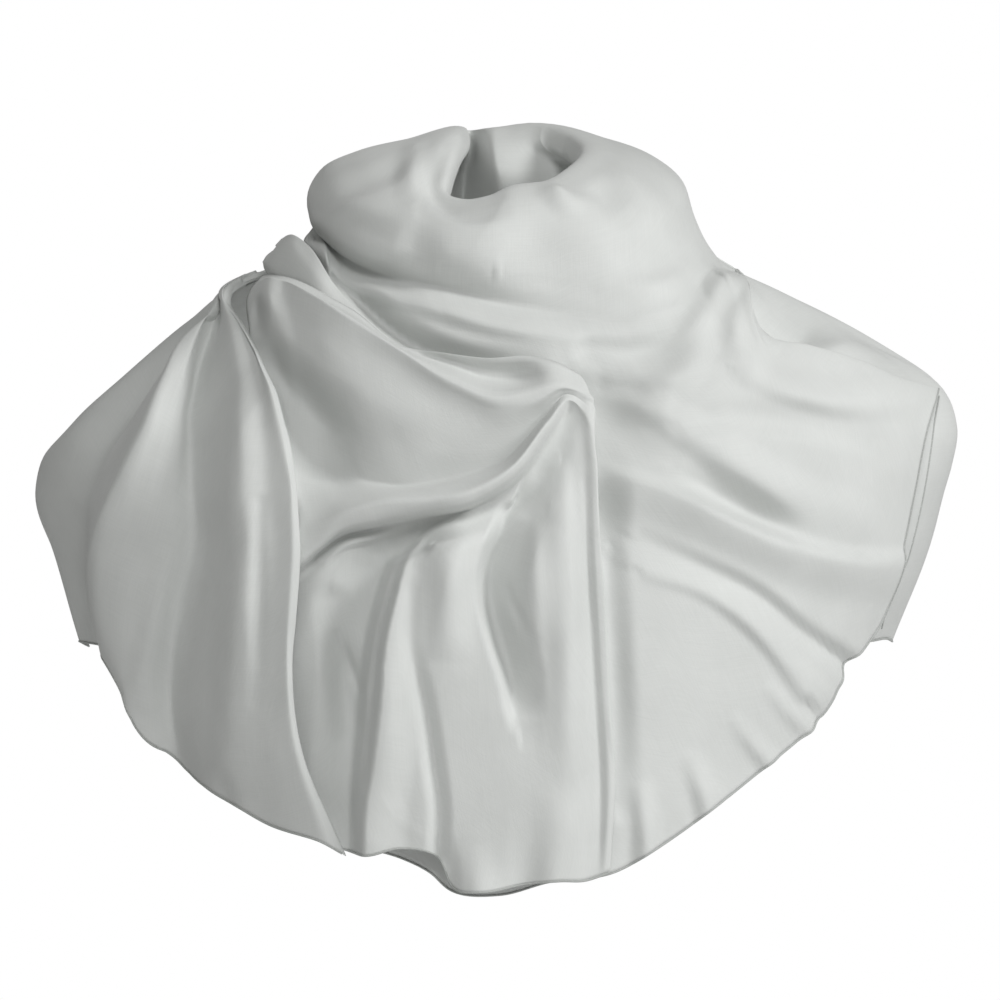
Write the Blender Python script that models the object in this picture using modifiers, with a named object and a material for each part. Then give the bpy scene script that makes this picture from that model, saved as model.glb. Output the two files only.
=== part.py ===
"""Silk chiffon scarf, wound once round the neck and spread over both shoulders.

The cloth is worn, so it is a hollow form on a general figure: x to the viewer's
right, y to the back, z up. The origin is the centre of the neck's base. Each
stretch of cloth that shows is a thin wall in an object of its own.
"""
import math
from collections import namedtuple

import bmesh
import bpy
import numpy as np
from mathutils import Vector
from mathutils.bvhtree import BVHTree

# Driving sizes, in millimetres
MM = 0.001
WALL = 1.5                  # thickness of each stretch of cloth
LAYER_GAP = 0.7             # air between stretches that lie on each other
CELL_PARTS = 4              # parts of a mesh cell that are tested for that air
ROW_SAMPLES = 8             # samples for each mesh cell when a row is spaced evenly
DEGREE_LENGTH = 4.0         # mean length of one degree round the shoulders
LEAST_SLOPE = 0.35          # least squareness of a lift to the cloth
NECK_RADIUS = 60.0          # clear radius of the neck opening
REACH = 70.0                # how far out a stretch looks for the cloth under it
SQUARE_FROM = 0.70          # sine of the angle where lifts begin to turn square to the figure
SQUARE_BY = 0.95            # and where they are square to it
SIDE_FROM = 0.60            # sine of the angle where a stretch begins to sink to its side lift
FOLD_FADE = 0.30            # cosine of the angle below which folds fade out
FOLD_STEPS = 24             # straight steps in a fold's path

# The stretches from the innermost out: lifts are the cloth's height over the
# figure, in millimetres, and columns and rows are those of its mesh
Stretch = namedtuple("Stretch", "front_lift side_lift columns rows")
STRETCHES = {
    "back_panel": Stretch(-1.0, -1.8, 30, 14),
    "right_under_layer": Stretch(0.0, 2.6, 13, 15),
    "right_front": Stretch(6.0, 5.0, 28, 26),
    "centre_fall": Stretch(17.0, 17.0, 18, 20),
    "swag": Stretch(21.0, 13.0, 20, 13),
    "left_fall": Stretch(23.0, 2.5, 25, 27),
}

# The general figure with the cloth on it, seen level: a row for each height
FIGURE = (
    # height, left half-width, right half-width, front depth, back depth
    (40, 84, 84, 80, 78),
    (16, 102, 98, 92, 88),
    (6, 118, 110, 99, 93),
    (-6, 144, 126, 104, 97),
    (-16, 160, 150, 109, 101),
    (-36, 179, 192, 117, 106),
    (-66, 214, 242, 127, 113),
    (-90, 242, 253, 135, 118),
    (-110, 256, 250, 141, 121),
    (-126, 259, 245, 145, 123),
    (-157, 250, 236, 150, 125),
    (-213, 235, 214, 156, 125),
    (-280, 212, 190, 160, 121),
    (-350, 186, 170, 161, 116),
)

# A fold is a soft ridge, or a trough where its height is below zero. Its path
# holds x and z as seen from the front, its heights and widths run from the
# path's start to its end, and the widths are those of its left and right sides.
Fold = namedtuple("Fold", "path heights left_widths right_widths")

LEFT_FALL_FOLDS = (
    # bright front edge
    Fold(((-134, -34), (-126, -76), (-117, -143), (-117, -215), (-103, -300), (-84, -328)),
         (1, 9, 8), (12, 16), (12, 16)),
    # soft ridge beside it
    Fold(((-140, -80), (-134, -140), (-133, -210), (-131, -300)), (1, 6, 3), (9, 14), (9, 14)),
    # deep trough that widens towards the hem
    Fold(((-160, -64), (-160, -104), (-165, -165), (-170, -232), (-179, -275)),
         (-4, -22, -16), (10, 22), (12, 26)),
    # broad light ridge left of the trough
    Fold(((-178, -52), (-190, -104), (-194, -165), (-201, -220), (-203, -262)),
         (4, 11, 7), (12, 20), (10, 15)),
    # narrow bright ridge towards the shoulder's edge
    Fold(((-172, -46), (-200, -87), (-221, -122), (-229, -154), (-230, -205)), (4, 6, 3), (8, 10), (9, 12)),
    # dark trough behind the edge
    Fold(((-178, -42), (-204, -78), (-226, -109), (-240, -143), (-241, -175)),
         (-4, -8, -3), (8, 10), (8, 10)),
)
SWAG_FOLDS = (
    # rounded top ridge, from the pinch to the lip
    Fold(((-130, -18), (-105, -24), (-80, -36), (-53, -56), (-22, -71), (6, -75), (20, -68)),
         (3, 9, 5), (9, 9), (16, 22)),
    # lip that rolls over to the right edge
    Fold(((-36, -52), (-10, -55), (15, -55), (32, -60), (44, -74), (46, -90)), (3, 7, 6), (8, 8), (10, 10)),
    # dimple between the top ridge and the lip
    Fold(((-10, -66), (1, -68), (12, -66)), (-4, -6, -4), (6, 6), (6, 6)),
    # dark hollow under the top ridge
    Fold(((-136, -50), (-113, -84), (-94, -103), (-84, -110)), (-4, -10, -8), (8, 14), (10, 16)),
    # trough above the lower ridge
    Fold(((-104, -113), (-85, -120), (-64, -125), (-42, -125), (-14, -115), (6, -98)),
         (-6, -11, -6), (8, 10), (12, 14)),
    # bright lower ridge
    Fold(((-110, -166), (-101, -149), (-84, -137), (-42, -130), (-13, -122), (7, -106), (22, -86), (30, -72)),
         (7, 13, 5), (9, 8), (9, 8)),
)
CENTRE_FALL_FOLDS = (
    # hollow beside the left fall
    Fold(((-98, -162), (-93, -210), (-93, -260), (-90, -305)), (-3, -9, -8), (14, 16), (14, 14)),
    # tongue that stands forward to the hem
    Fold(((-44, -150), (-58, -185), (-61, -220), (-57, -262), (-58, -300), (-58, -328)),
         (6, 13, 13), (9, 20), (9, 18)),
    # bulge right of the tongue
    Fold(((-14, -138), (-20, -165), (-24, -200)), (7, 6, 2), (12, 14), (12, 12)),
    # trough in the middle of the fall
    Fold(((6, -141), (-2, -170), (1, -200), (7, -240), (8, -262)), (-6, -11, -3), (9, 9), (10, 12)),
    # soft ridge before the folded edge
    Fold(((28, -120), (28, -180), (30, -250), (30, -330)), (3, 5, 5), (14, 18), (12, 16)),
    # folded right edge
    Fold(((47, -80), (51, -110), (53, -170), (57, -230), (61, -280), (57, -336)), (5, 5, 5), (8, 8), (8, 8)),
    # wave in the hem
    Fold(((-12, -300), (-14, -330), (-15, -350)), (1, 4, 6), (14, 20), (14, 20)),
)
RIGHT_FRONT_FOLDS = (
    # ridge that runs out to the right edge
    Fold(((53, -114), (94, -127), (129, -143), (166, -161), (200, -166)), (5, 8, 3), (12, 9), (22, 24)),
    # shadow above it
    Fold(((70, -104), (110, -119), (145, -140), (172, -152)), (-1, -8, -2), (14, 12), (9, 8)),
    # soft step below it
    Fold(((70, -165), (100, -182), (143, -206), (175, -222)), (-3, -5, -2), (14, 18), (18, 22)),
    # hollow beside the lip
    Fold(((52, -80), (70, -86), (92, -78)), (-6, -5, -1), (12, 14), (14, 18)),
    # hollow beside the folded edge
    Fold(((59, -122), (62, -142), (60, -160)), (-3, -5, -2), (6, 8), (9, 12)),
    # soft fold from the neck to the right shoulder
    Fold(((70, -40), (110, -62), (160, -86), (210, -100)), (2, 5, 2), (16, 18), (20, 26)),
    # ripples in the hem
    Fold(((120, -262), (136, -280), (146, -290)), (1, 4, 5), (7, 8), (7, 8)),
    Fold(((146, -240), (160, -258), (168, -264)), (1, 4, 5), (6, 8), (6, 8)),
    Fold(((88, -280), (92, -305), (95, -322)), (1, 4, 5), (9, 12), (9, 12)),
)
UNDER_LAYER_FOLDS = (
    # narrow ridge from the neck over the shoulder
    Fold(((126, -6), (142, -36), (158, -50)), (4, 5, 2), (7, 7), (7, 7)),
    Fold(((150, -22), (182, -44), (214, -62)), (-3, -4, -2), (8, 8), (8, 8)),
)

# The shoulder tuck, between edges that stand free of the figure, as x, y and z
TUCK_UPPER_EDGE = ((-121, -16, 15), (-126, -36, 17), (-119, -51, 18), (-106, -67, 13), (-84, -92, -15),
                   (-56, -108, -48))
TUCK_LOWER_EDGE = ((-137, -18, 4), (-134, -42, 1), (-118, -58, -12), (-102, -76, -26), (-78, -98, -42),
                   (-57, -108, -58))
TUCK_TIP = ((-121, -16, 15), (-132, -14, 11), (-137, -18, 4))
TUCK_END = ((-56, -108, -48), (-56, -109, -53), (-57, -108, -58))
TUCK_ROUNDING = 7.0         # how far its middle stands out from its edges
TUCK_COLUMNS = 14
TUCK_ROWS = 5
# The hidden back: x and z as seen from the back's side of the same figure
BACK_FOLDS = (
    Fold(((-90, 0), (-120, -90), (-140, -200), (-146, -240)), (2, 7, 9), (14, 24), (14, 24)),
    Fold(((-30, 0), (-44, -90), (-50, -180), (-52, -250)), (2, 6, 8), (14, 26), (14, 26)),
    Fold(((36, 0), (50, -110), (56, -180), (54, -250)), (2, 8, 9), (14, 26), (14, 22)),
    Fold(((94, 0), (130, -80), (150, -180), (152, -240)), (2, 6, 8), (14, 24), (14, 24)),
)

# The neck wrap: a row for each direction round the neck, from the front (0) to
# the right (90). The foot is its lower edge and the rim its top.
COWL_SECTIONS = (
    # angle, foot radius, foot height, belly radius, belly height, rim radius, rim height
    (-160, 103, -6, 113, 20, 72, 79),
    (-120, 113, 4, 116, 20, 68, 75),
    (-90, 114, 14, 116, 27, 66, 71),
    (-65, 114.8, 8, 117.8, 22, 66, 70),
    (-48, 114.8, -4, 118.8, 16, 70, 68),
    (-32, 117, -14, 121, 10, 76, 58),
    (-20, 118, -19, 122, 6, 77, 44),
    (-4, 119, -24, 123, 2, 78, 41),
    (12, 119, -31, 123, 0, 77, 46),
    (30, 120, -35, 123, -2, 74, 58),
    (48, 122, -24, 123, 2, 70, 67),
    (65, 118, -4, 121, 10, 66, 71),
    (90, 115, 5, 118, 18, 65, 75),
    (130, 112, -2, 116, 18, 70, 79),
    (165, 103, -8, 113, 20, 74, 82),
)
COWL_DEPTH_SHARE = 0.94     # the wrap is a little shallower than wide
COWL_INSIDE = 46.0          # how far the wrap turns down inside the neck
COWL_RIM_ROLL = 9.0         # radius of the turn at the rim
COWL_SHOULDER_OUT = 0.62    # the wrap's shoulder, as a share of the way out from rim to belly
COWL_SHOULDER_UP = 0.55     # and of the way up from belly to rim
COWL_COLUMNS = 46
COWL_ROWS = 13

CLOTH_COLOUR = (0.60, 0.615, 0.60, 1.0)
CLOTH_ROUGHNESS = 0.62


def read_smoothly(stations, values, at):
    """Cubic curve through the values at their stations, read at the places given."""
    stations = np.asarray(stations, float)
    values = np.asarray(values, float)
    slopes = np.gradient(values, stations, axis=0)
    at = np.clip(np.asarray(at, float), stations[0], stations[-1])
    before = np.clip(np.searchsorted(stations, at, "right") - 1, 0, len(stations) - 2)
    length = (stations[before + 1] - stations[before])
    share = (at - stations[before]) / length
    if values.ndim > 1:
        share = share[..., None]
        length = length[..., None]
    start_weight = 2 * share**3 - 3 * share**2 + 1
    end_weight = 1 - start_weight
    start_slope = (share**3 - 2 * share**2 + share) * length
    end_slope = (share**3 - share**2) * length
    return (start_weight * values[before] + end_weight * values[before + 1]
            + start_slope * slopes[before] + end_slope * slopes[before + 1])


def along(points, shares):
    """Smooth curve through the points, read at shares of its length."""
    points = np.asarray(points, float)
    run = np.concatenate(([0.0], np.cumsum(np.linalg.norm(np.diff(points, axis=0), axis=1))))
    return read_smoothly(run / run[-1], points, shares)


def figure_sizes(height):
    """Left and right half-widths and front and back depths of the figure."""
    rows = np.array(FIGURE, float)[::-1]
    return read_smoothly(rows[:, 0], rows[:, 1:], height)


def figure_points(angle, height):
    """Points on the figure, from an angle round it in degrees and a height."""
    turn = np.radians(angle)
    sizes = figure_sizes(height)
    width = np.where(np.sin(turn) < 0, sizes[..., 0], sizes[..., 1])
    depth = np.where(np.cos(turn) > 0, sizes[..., 2], sizes[..., 3])
    return np.stack((width * np.sin(turn), -depth * np.cos(turn), height), axis=-1)


def lift_directions(angle, height):
    """Unit directions in which cloth is lifted off the figure.

    They point straight to the front or back where the figure faces it, so that a
    fold stays where it is seen, and square to the figure at its sides.
    """
    step = 0.5
    across = figure_points(angle + step, height) - figure_points(angle - step, height)
    up = figure_points(angle, height + step) - figure_points(angle, height - step)
    square = np.cross(across, up)
    square /= np.linalg.norm(square, axis=-1, keepdims=True)
    turn = np.radians(angle)
    straight = np.zeros_like(square)
    straight[..., 1] = np.where(np.cos(turn) > 0, -1.0, 1.0)
    side = np.clip((np.abs(np.sin(turn)) - SQUARE_FROM) / (SQUARE_BY - SQUARE_FROM), 0.0, 1.0)[..., None]
    side = side * side * (3 - 2 * side)
    blend = (1 - side) * straight + side * square
    return blend / np.linalg.norm(blend, axis=-1, keepdims=True)


def from_front(points):
    """Angles and heights of points given by x and z as seen from the front."""
    points = np.asarray(points, float)
    sizes = figure_sizes(points[..., 1])
    width = np.where(points[..., 0] < 0, sizes[..., 0], sizes[..., 1])
    turn = np.degrees(np.arcsin(np.clip(points[..., 0] / width, -1.0, 1.0)))
    return np.stack((turn, points[..., 1]), axis=-1)


def patch(edges, columns, rows):
    """Grid of flat points that fills the space between the four edges."""
    top, bottom, left, right = edges
    across = np.linspace(0, 1, columns + 1)
    down = np.linspace(0, 1, rows + 1)
    top, bottom = (along(edge, across)[None] for edge in (top, bottom))
    left, right = (along(edge, down)[:, None] for edge in (left, right))
    u = across[None, :, None]
    v = down[:, None, None]
    corners = ((1 - u) * (1 - v) * top[:, :1] + u * (1 - v) * top[:, -1:]
               + (1 - u) * v * bottom[:, :1] + u * v * bottom[:, -1:])
    return (1 - v) * top + v * bottom + (1 - u) * left + u * right - corners


def fold_heights(x, z, folds):
    """Sum of the folds' heights at points seen at x and z."""
    total = np.zeros(np.shape(x))
    place = np.stack((x, z), axis=-1)
    for fold in folds:
        path = along(fold.path, np.linspace(0, 1, FOLD_STEPS + 1))
        shares = np.linspace(0, 1, len(path))
        nearest = np.full(total.shape, np.inf)
        share = np.zeros(total.shape)
        side = np.zeros(total.shape)
        for index, (start, end) in enumerate(zip(path[:-1], path[1:])):
            run = end - start
            away = place - start
            part = np.clip((away @ run) / (run @ run), 0.0, 1.0)
            distance = np.linalg.norm(away - part[..., None] * run, axis=-1)
            closer = distance < nearest
            nearest = np.where(closer, distance, nearest)
            share = np.where(closer, shares[index] + part * (shares[1] - shares[0]), share)
            side = np.where(closer, away[..., 0] * run[1] - away[..., 1] * run[0], side)
        left = fold.left_widths[0] + (fold.left_widths[1] - fold.left_widths[0]) * share
        right = fold.right_widths[0] + (fold.right_widths[1] - fold.right_widths[0]) * share
        width = np.where(side > 0, left, right)
        height = read_smoothly((0, 0.5, 1), fold.heights, share)
        reach = np.clip(nearest / width, 0.0, 1.0)
        total += height * 0.5 * (1 + np.cos(math.pi * reach))
    return total


def between(grid, parts):
    """The grid with each cell divided into parts by straight lines."""
    for axis in (0, 1):
        count = grid.shape[axis]
        at = np.linspace(0, count - 1, (count - 1) * parts + 1)
        before = np.minimum(at.astype(int), count - 2)
        share = (at - before).reshape((-1, 1, 1) if axis == 0 else (1, -1, 1))
        grid = np.take(grid, before, axis) * (1 - share) + np.take(grid, before + 1, axis) * share
    return grid


def outward_slopes(points, directions):
    """How squarely the lift directions leave the cloth, from 1 down to a set least."""
    square = np.cross(np.gradient(points, axis=0), np.gradient(points, axis=1))
    square /= np.linalg.norm(square, axis=-1, keepdims=True) + 1e-9
    return np.maximum(np.abs((square * directions).sum(axis=-1)), LEAST_SLOPE)


def lift_clear(points, directions, lower):
    """Move points out along their directions until the wall clears the cloth under it."""
    rows, columns = points.shape[:2]
    for _ in range(2):
        fine = between(points, CELL_PARTS)
        outward = between(directions, CELL_PARTS)
        outward /= np.linalg.norm(outward, axis=-1, keepdims=True)
        clearance = (WALL + LAYER_GAP) / outward_slopes(fine, outward)
        amounts = np.zeros(fine.shape[:2])
        for index in np.ndindex(amounts.shape):
            away = Vector(outward[index])
            start = Vector(fine[index]) + away * REACH
            for tree in lower:
                hit = tree.ray_cast(start, -away, 2 * REACH)
                if hit[0] is not None:
                    amounts[index] = max(amounts[index], REACH - hit[3] + clearance[index])
        padded = np.pad(amounts, CELL_PARTS)
        size = 2 * CELL_PARTS + 1
        windows = np.lib.stride_tricks.sliding_window_view(padded, (size, size))
        needed = windows[::CELL_PARTS, ::CELL_PARTS].max(axis=(2, 3))
        around = np.pad(needed, 1, mode="edge")
        soft = np.mean([around[i:i + rows, j:j + columns] for i in range(3) for j in range(3)], axis=0)
        points = points + directions * np.maximum(soft, needed)[..., None]
    return points


def cloth_material():
    """Pale silver-grey chiffon."""
    material = bpy.data.materials.new("silk_chiffon")
    material.use_nodes = True
    shader = material.node_tree.nodes["Principled BSDF"]
    shader.inputs["Base Color"].default_value = CLOTH_COLOUR
    shader.inputs["Roughness"].default_value = CLOTH_ROUGHNESS
    shader.inputs["Metallic"].default_value = 0.0
    material.diffuse_color = CLOTH_COLOUR
    return material


def cloth_wall(name, points, collection, material, closed=False):
    """Object with a wall of cloth whose outer face goes through a grid of points."""
    rows, columns = points.shape[:2]
    shape = bmesh.new()
    bmesh.ops.create_grid(shape, x_segments=columns - 1, y_segments=rows - 1, size=0.5)
    for vertex in shape.verts:
        column = round((vertex.co.x + 0.5) * (columns - 1))
        row = round((0.5 - vertex.co.y) * (rows - 1))
        vertex.co = Vector(points[row, column]) * MM
    if closed:
        bmesh.ops.remove_doubles(shape, verts=shape.verts, dist=1e-6)
    mesh = bpy.data.meshes.new(name)
    shape.to_mesh(mesh)
    shape.free()
    mesh.shade_smooth()
    mesh.materials.append(material)
    wall = bpy.data.objects.new(name, mesh)
    collection.objects.link(wall)
    thickness = wall.modifiers.new("wall", "SOLIDIFY")
    thickness.thickness = WALL * MM
    thickness.offset = -1.0
    return wall


def surface_tree(wall):
    """Search tree over a finished wall, in millimetres."""
    evaluated = wall.evaluated_get(bpy.context.evaluated_depsgraph_get())
    mesh = evaluated.to_mesh()
    points = [vertex.co / MM for vertex in mesh.vertices]
    faces = [tuple(face.vertices) for face in mesh.polygons]
    tree = BVHTree.FromPolygons(points, faces)
    evaluated.to_mesh_clear()
    return tree


def draped_stretch(name, layout, edges, folds, lower, collection, material, behind=False):
    """A stretch of cloth between its edges, over the figure and the stretches under it."""
    stretch = STRETCHES[name]
    grid = layout(edges, stretch.columns, stretch.rows)
    angle = grid[..., 0]
    height = grid[..., 1]
    points = figure_points(angle, height)
    directions = lift_directions(angle, height)
    facing = np.cos(np.radians(angle)) * (-1 if behind else 1)
    shown = np.clip(facing / FOLD_FADE, 0.0, 1.0)
    beside = np.clip((np.abs(np.sin(np.radians(angle))) - SIDE_FROM) / (1 - SIDE_FROM), 0.0, 1.0)
    raised = stretch.front_lift + (stretch.side_lift - stretch.front_lift) * beside
    raised = raised + shown * fold_heights(points[..., 0], points[..., 2], folds)
    points = points + directions * raised[..., None]
    points = lift_clear(points, directions, lower)
    return cloth_wall(name, points, collection, material)


def even_rows(fine, columns):
    """Each row of a fine grid of angles and heights, spaced evenly along the figure."""
    points = figure_points(fine[..., 0], fine[..., 1])
    grid = []
    for places, row in zip(fine, points):
        run = np.concatenate(([0.0], np.cumsum(np.linalg.norm(np.diff(row, axis=0), axis=1))))
        at = np.linspace(0, run[-1], columns + 1)
        grid.append(np.stack((np.interp(at, run, places[:, 0]), np.interp(at, run, places[:, 1])), axis=1))
    return np.array(grid)


def front_patch(edges, columns, rows):
    """Grid of angles and heights from edges given by x and z as seen from the front."""
    return even_rows(from_front(patch(edges, columns * ROW_SAMPLES, rows)), columns)


def round_patch(edges, columns, rows):
    """Grid of angles and heights from edges given by angle and height."""
    scale = np.array((DEGREE_LENGTH, 1.0))
    edges = [np.asarray(edge) * scale for edge in edges]
    return even_rows(patch(edges, columns * ROW_SAMPLES, rows) / scale, columns)


def back_panel(collection, material):
    """Hidden stretch over the back, from one shoulder to the other, by angle and height."""
    top = ((94, 4), (135, 8), (180, 10), (225, 8), (266, 6))
    bottom = ((96, -196), (130, -222), (180, -236), (230, -226), (264, -204))
    left = ((94, 4), (94, -100), (96, -196))
    right = ((266, 6), (266, -100), (264, -204))
    return draped_stretch("back_panel", round_patch, (top, bottom, left, right), BACK_FOLDS, (),
                          collection, material, behind=True)


def right_under_layer(lower, collection, material):
    """Layer over the right shoulder whose hem edges show at the right."""
    top = (*from_front(((88, 6), (100, 8))), (90, 8), (114, 8))
    bottom = (*from_front(((176, -200), (198, -206))), (90, -209), (114, -205))
    left = from_front(((88, 6), (128, -36), (166, -100), (176, -200)))
    right = ((114, 8), (114, -100), (114, -205))
    return draped_stretch("right_under_layer", round_patch, (top, bottom, left, right), UNDER_LAYER_FOLDS,
                          lower, collection, material)


def right_front(lower, collection, material):
    """Stretch from under the wrap at the left, over the chest, to the right edge."""
    top = ((-100, 10), (-82, 2), (-59, -4), (-20, -10), (31, -18), (64, -14), (95, -4),
           (116, -6), (142, -36), (193, -53), (238, -68))
    bottom = ((-84, -322), (-58, -334), (-32, -349), (-3, -351), (24, -342), (60, -337), (84, -325),
              (109, -308), (148, -283), (182, -244), (200, -222), (210, -206))
    left = ((-100, 10), (-106, 0), (-92, -18), (-70, -46), (-52, -90), (-50, -150), (-62, -240), (-84, -322))
    right = ((238, -68), (235, -96), (229, -130), (220, -170), (210, -206))
    return draped_stretch("right_front", front_patch, (top, bottom, left, right), RIGHT_FRONT_FOLDS,
                          lower, collection, material)


def centre_fall(lower, collection, material):
    """Stretch that falls from the swag to the lower hem."""
    top = ((-128, -156), (-100, -146), (-60, -131), (-20, -125), (4, -112), (24, -92), (42, -76))
    bottom = ((-116, -306), (-80, -328), (-58, -324), (-38, -329), (-26, -340), (-8, -345), (8, -343),
              (20, -338), (40, -341), (56, -338))
    left = ((-128, -156), (-126, -200), (-124, -260), (-116, -306))
    right = ((42, -76), (50, -94), (52, -143), (55, -210), (61, -280), (56, -338))
    return draped_stretch("centre_fall", front_patch, (top, bottom, left, right), CENTRE_FALL_FOLDS,
                          lower, collection, material)


def swag(lower, collection, material):
    """Stretch that swags from the pinch at the left shoulder across the chest."""
    top = ((-130, -13), (-104, -18), (-78, -31), (-55, -48), (-34, -50), (-8, -53), (18, -53),
           (36, -59), (47, -72))
    bottom = ((-126, -178), (-104, -160), (-88, -148), (-60, -141), (-24, -136), (0, -124),
              (18, -106), (34, -92), (49, -88))
    left = ((-130, -13), (-136, -44), (-136, -90), (-130, -130), (-126, -178))
    right = ((47, -72), (49, -80), (49, -88))
    return draped_stretch("swag", front_patch, (top, bottom, left, right), SWAG_FOLDS,
                          lower, collection, material)


def left_fall(lower, collection, material):
    """Pleated stretch over the left shoulder, from its back to the front edge."""
    top = ((-114, 12), (-100, 11), (-86, 8), (-74, 1), (-64, -9), *from_front(((-130, -20),)))
    bottom = ((-114, -206), (-98, -212), (-85, -214),
              *from_front(((-226, -216), (-216, -236), (-199, -262), (-176, -284), (-137, -305),
                           (-92, -330), (-80, -332))))
    left = ((-114, 12), (-114, -100), (-114, -206))
    right = from_front(((-130, -20), (-134, -31), (-132, -47), (-124, -76), (-116, -104), (-112, -143),
                        (-112, -199), (-110, -255), (-98, -300), (-80, -332)))
    return draped_stretch("left_fall", round_patch, (top, bottom, left, right), LEFT_FALL_FOLDS,
                          lower, collection, material)


def shoulder_tuck(lower, collection, material):
    """Short rounded fold between the neck wrap and the left shoulder."""
    edges = (TUCK_UPPER_EDGE, TUCK_LOWER_EDGE, TUCK_TIP, TUCK_END)
    points = patch(edges, TUCK_COLUMNS, TUCK_ROWS)
    across = np.linspace(0, math.pi, TUCK_ROWS + 1)
    points[..., 1] -= TUCK_ROUNDING * np.sin(across)[:, None]
    directions = np.zeros_like(points)
    directions[..., 1] = -1.0
    points = lift_clear(points, directions, lower)
    return cloth_wall("shoulder_tuck", points, collection, material)


def cowl(lower, collection, material):
    """Neck wrap: a closed ring of cloth that rolls in at the rim."""
    rows = np.array(COWL_SECTIONS, float)
    turns = np.vstack((rows - np.array((360,) + (0,) * 6), rows, rows + np.array((360,) + (0,) * 6)))
    angle = np.linspace(-180, 180, COWL_COLUMNS + 1)
    foot_radius, foot_height, belly_radius, belly_height, rim_radius, rim_height = (
        read_smoothly(turns[:, 0], turns[:, column], angle) for column in range(1, 7))
    roll = COWL_RIM_ROLL
    inside = NECK_RADIUS + WALL
    section = np.array((
        (foot_radius, foot_height),
        ((foot_radius + belly_radius) / 2 + 1.5, (foot_height + belly_height) / 2),
        (belly_radius, belly_height),
        (rim_radius + (belly_radius - rim_radius) * COWL_SHOULDER_OUT,
         belly_height + (rim_height - belly_height) * COWL_SHOULDER_UP),
        (rim_radius + roll * 0.8, rim_height - roll * 0.35),
        (rim_radius, rim_height),
        ((rim_radius + inside) / 2 - 1, rim_height - roll * 0.6),
        (inside + 0 * angle, rim_height - roll * 1.8),
        (inside + 0 * angle, rim_height - COWL_INSIDE),
    )).transpose(2, 0, 1)
    shares = np.linspace(0, 1, COWL_ROWS + 1)
    columns = np.array([along(profile, shares) for profile in section])
    turn = np.radians(angle)[:, None]
    radius = columns[..., 0]
    points = np.stack((radius * np.sin(turn), -COWL_DEPTH_SHARE * radius * np.cos(turn), columns[..., 1]),
                      axis=-1)
    outward = np.stack((np.sin(turn), -np.cos(turn), np.sin(turn) ** 2), axis=-1)
    outward /= np.linalg.norm(outward, axis=-1, keepdims=True)
    outer = len(shares) // 2
    directions = np.repeat(outward, outer, axis=1)
    points[:, :outer] = lift_clear(points[:, :outer], directions, lower)
    points[-1] = points[0]
    return cloth_wall("cowl", points.transpose(1, 0, 2)[::-1], collection, material, closed=True)


def build():
    """All the stretches, each laid over those under it."""
    for leftover in list(bpy.data.objects):
        bpy.data.objects.remove(leftover)
    collection = bpy.data.collections.new("silk_chiffon_scarf")
    bpy.context.scene.collection.children.link(collection)
    material = cloth_material()
    back = surface_tree(back_panel(collection, material))
    under = surface_tree(right_under_layer((back,), collection, material))
    right = surface_tree(right_front((back, under), collection, material))
    tuck = surface_tree(shoulder_tuck((right,), collection, material))
    fall = surface_tree(centre_fall((right, tuck), collection, material))
    drape = surface_tree(swag((right, tuck, fall), collection, material))
    left = surface_tree(left_fall((back, right, fall, drape), collection, material))
    cowl((back, under, right, left), collection, material)


build()
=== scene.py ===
"""Silk chiffon scarf, wound once round the neck and spread over both shoulders.

Each stretch of cloth is a thin sheet with its creases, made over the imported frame.
"""
import math
from collections import namedtuple

import bpy
import numpy as np
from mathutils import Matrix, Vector
from mathutils.bvhtree import BVHTree


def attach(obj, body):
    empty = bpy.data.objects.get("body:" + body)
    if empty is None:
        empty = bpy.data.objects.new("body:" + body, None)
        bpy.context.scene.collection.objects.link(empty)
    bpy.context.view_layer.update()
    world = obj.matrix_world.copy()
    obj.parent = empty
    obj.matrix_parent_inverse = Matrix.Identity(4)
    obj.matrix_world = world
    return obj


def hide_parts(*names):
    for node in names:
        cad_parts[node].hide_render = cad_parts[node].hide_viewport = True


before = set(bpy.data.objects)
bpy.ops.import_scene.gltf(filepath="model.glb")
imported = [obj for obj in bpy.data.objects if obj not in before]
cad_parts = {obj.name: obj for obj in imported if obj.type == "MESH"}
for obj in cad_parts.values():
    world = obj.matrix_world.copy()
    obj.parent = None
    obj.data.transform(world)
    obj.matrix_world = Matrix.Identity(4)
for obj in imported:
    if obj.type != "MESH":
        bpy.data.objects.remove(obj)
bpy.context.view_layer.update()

# Camera: level and straight in front, far off, so the scarf fills the square frame
# as it does in the photograph.
CAMERA_AWAY = 7.0
CAMERA_REACH = 40.0         # how far the camera still sees
SENSOR_WIDTH = 36.0         # in millimetres
PICTURE_WIDTH = 0.56
PICTURE_DEPTH = -0.08       # the depth, on the y axis, at which the picture is that wide
PICTURE_CENTRE = (-0.0028, -0.1316)
bpy.ops.object.camera_add(location=(PICTURE_CENTRE[0], -CAMERA_AWAY, PICTURE_CENTRE[1]),
                          rotation=(math.radians(90), 0, 0))
camera = bpy.context.object
camera.name = "camera"
camera.data.sensor_width = SENSOR_WIDTH
camera.data.lens = SENSOR_WIDTH * (CAMERA_AWAY + PICTURE_DEPTH) / PICTURE_WIDTH
camera.data.clip_end = CAMERA_REACH
bpy.context.scene.camera = camera

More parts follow.
